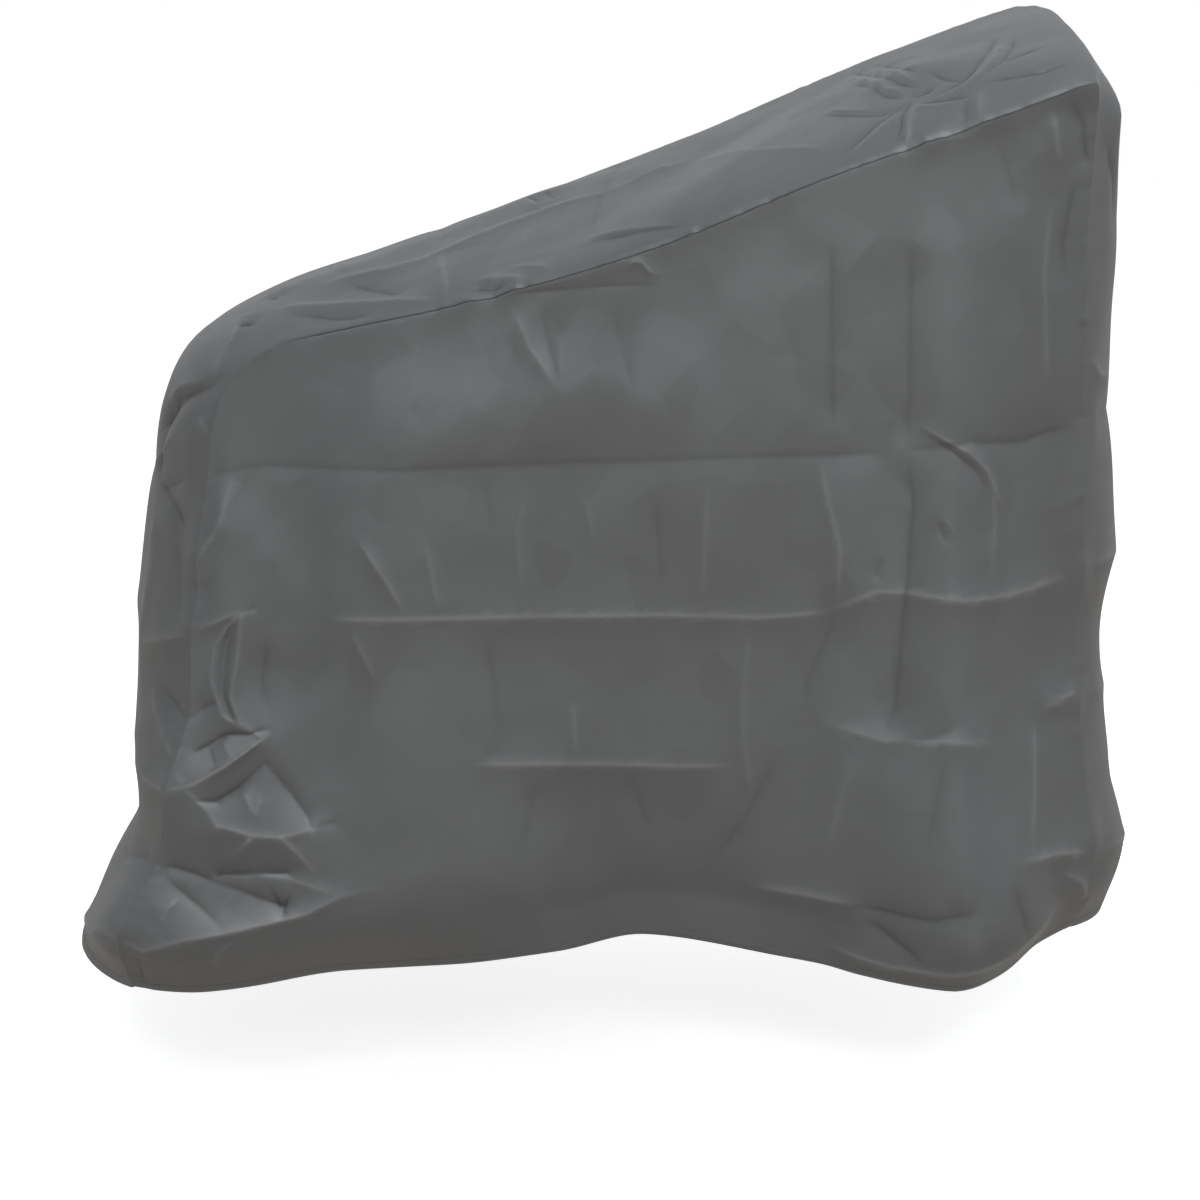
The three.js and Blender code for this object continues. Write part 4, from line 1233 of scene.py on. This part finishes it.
def pale_floor():
    """A wide round floor that shows and takes shadows, and lets the studio's light through."""
    bm = bmesh.new()
    bmesh.ops.create_circle(bm, cap_ends=True, radius=FLOOR["radius"], segments=FLOOR["sides"])
    bmesh.ops.translate(bm, verts=bm.verts, vec=(0, 0, cad_low[2] - FLOOR["drop"]))
    floor = as_object("floor", bm)
    for light in ("diffuse", "glossy", "transmission", "shadow"):
        setattr(floor, f"visible_{light}", False)
    material, nodes = new_material("pale_floor")
    material.cycles.emission_sampling = "NONE"
    shader = nodes.add("ShaderNodeBsdfPrincipled", {}, {
        "Base Color": (FLOOR["white"],) * 3 + (1,),
        "Roughness": FLOOR["roughness"],
        "Specular IOR Level": 0.0,
        "Emission Color": (1, 1, 1, 1),
        "Emission Strength": FLOOR["glow"],
    })
    nodes.add("ShaderNodeOutputMaterial", {}, {"Surface": shader})
    floor.data.materials.append(material)


# The studio, white to the eye: as light it has a warm floor, cool walls, a brighter backdrop, a dim ceiling
STUDIO = {
    "floor": (0.49, 0.46, 0.43, 1),
    "walls": (0.48, 0.49, 0.50, 1),
    "backdrop": (0.72, 0.735, 0.75, 1),
    "ceiling": (0.24, 0.25, 0.26, 1),
    "seen": (1, 1, 1, 1),
}
# Where these run into each other, as shares of a direction's depth or height
STUDIO_EDGES = {"backdrop": (0.35, 0.90), "floor": (-0.35, 0.10), "ceiling": (0.25, 0.80)}


def studio_world():
    world = bpy.data.worlds.new("studio")
    bpy.context.scene.world = world
    world.use_nodes = True
    nodes = Nodes(world.node_tree)
    ray = nodes.add("ShaderNodeTexCoord", {}, {}, "Generated")
    depth = nodes.add("ShaderNodeSeparateXYZ", {}, {0: ray}, 1)
    height = nodes.add("ShaderNodeSeparateXYZ", {}, {0: ray}, 2)

    def beyond(edge, value):
        low, high = STUDIO_EDGES[edge]
        return nodes.add("ShaderNodeMapRange", {"interpolation_type": "SMOOTHSTEP"}, {
            "Value": value, "From Min": low, "From Max": high})

    walls = mixed(nodes, beyond("backdrop", depth), STUDIO["walls"], STUDIO["backdrop"])
    below = mixed(nodes, beyond("floor", height), STUDIO["floor"], walls)
    glow = mixed(nodes, beyond("ceiling", height), below, STUDIO["ceiling"])
    seen = nodes.add("ShaderNodeLightPath", {}, {}, "Is Camera Ray")
    background = nodes.add("ShaderNodeBackground", {}, {"Color": mixed(nodes, seen, glow, STUDIO["seen"])})
    nodes.add("ShaderNodeOutputWorld", {}, {"Surface": background})


def facing(spot, aim):
    """A turn that points a light or the camera from a spot at its aim."""
    return (Vector(aim) - Vector(spot)).to_track_quat("-Z", "Y")


# Soft boxes: where each stands, its aim, its sides, its power, the spread of its grid and its colour
LIGHTS = {
    "key": ((0.30, -1.2, 3.3), (-0.3, -0.2, -0.4), (2.4, 1.4), 116, 180, (0.96, 0.985, 1.0)),
    "front": ((0.2, -3.4, 1.6), (0.0, -0.26, 0.10), (1.2, 0.8), 2.0, 42, (0.98, 0.99, 1.0)),
    "nose": ((3.4, -1.4, 0.6), (0.2, 0.0, -0.5), (1.4, 1.8), 7, 180, (0.99, 0.995, 1.0)),
    "low": ((-0.1, -3.4, -1.2), (-0.3, 0.0, -0.95), (2.4, 0.7), 4, 180, (1.0, 0.99, 0.98)),
    "rear foot": ((-1.3, -2.6, 1.5), (-0.82, -0.3, -0.93), (0.6, 0.6), 0.4, 28, (0.98, 0.99, 1.0)),
    "front foot": ((0.7, -2.8, 1.2), (0.10, -0.3, -0.96), (0.6, 0.6), 0.3, 22, (0.98, 0.99, 1.0)),
}


def soft_box(name, spot, aim, sides, power, spread, colour):
    light = bpy.data.lights.new(name, "AREA")
    light.shape = "RECTANGLE"
    light.size, light.size_y = sides
    light.energy = power
    light.spread = math.radians(spread)
    light.color = colour
    box = bpy.data.objects.new(name, light)
    box.location = spot
    box.rotation_mode = "QUATERNION"
    box.rotation_quaternion = facing(spot, aim)
    bpy.context.scene.collection.objects.link(box)


# The camera: its turn about the cover, its height angle, its distance, and its lens on a 36 mm frame
CAMERA = {"azimuth": 2.0, "elevation": 15.5, "distance": 3.3, "lens": 79.5, "frame": 36.0}
AIM = Vector((0.0, 0.0, 0.390)) - Vector(HELD_AT)


def camera():
    data = bpy.data.cameras.new("camera")
    data.lens, data.sensor_width = CAMERA["lens"], CAMERA["frame"]
    eye = bpy.data.objects.new("camera", data)
    azimuth, elevation = math.radians(CAMERA["azimuth"]), math.radians(CAMERA["elevation"])
    level = math.cos(elevation)
    back = Vector((math.sin(azimuth) * level, -math.cos(azimuth) * level, math.sin(elevation)))
    eye.location = AIM + back * CAMERA["distance"]
    eye.rotation_mode = "QUATERNION"
    eye.rotation_quaternion = facing(eye.location, AIM)
    bpy.context.scene.collection.objects.link(eye)
    bpy.context.scene.camera = eye


pale_floor()
studio_world()
for name, values in LIGHTS.items():
    soft_box(name, *values)
camera()
bpy.context.scene.view_settings.view_transform = "Standard"
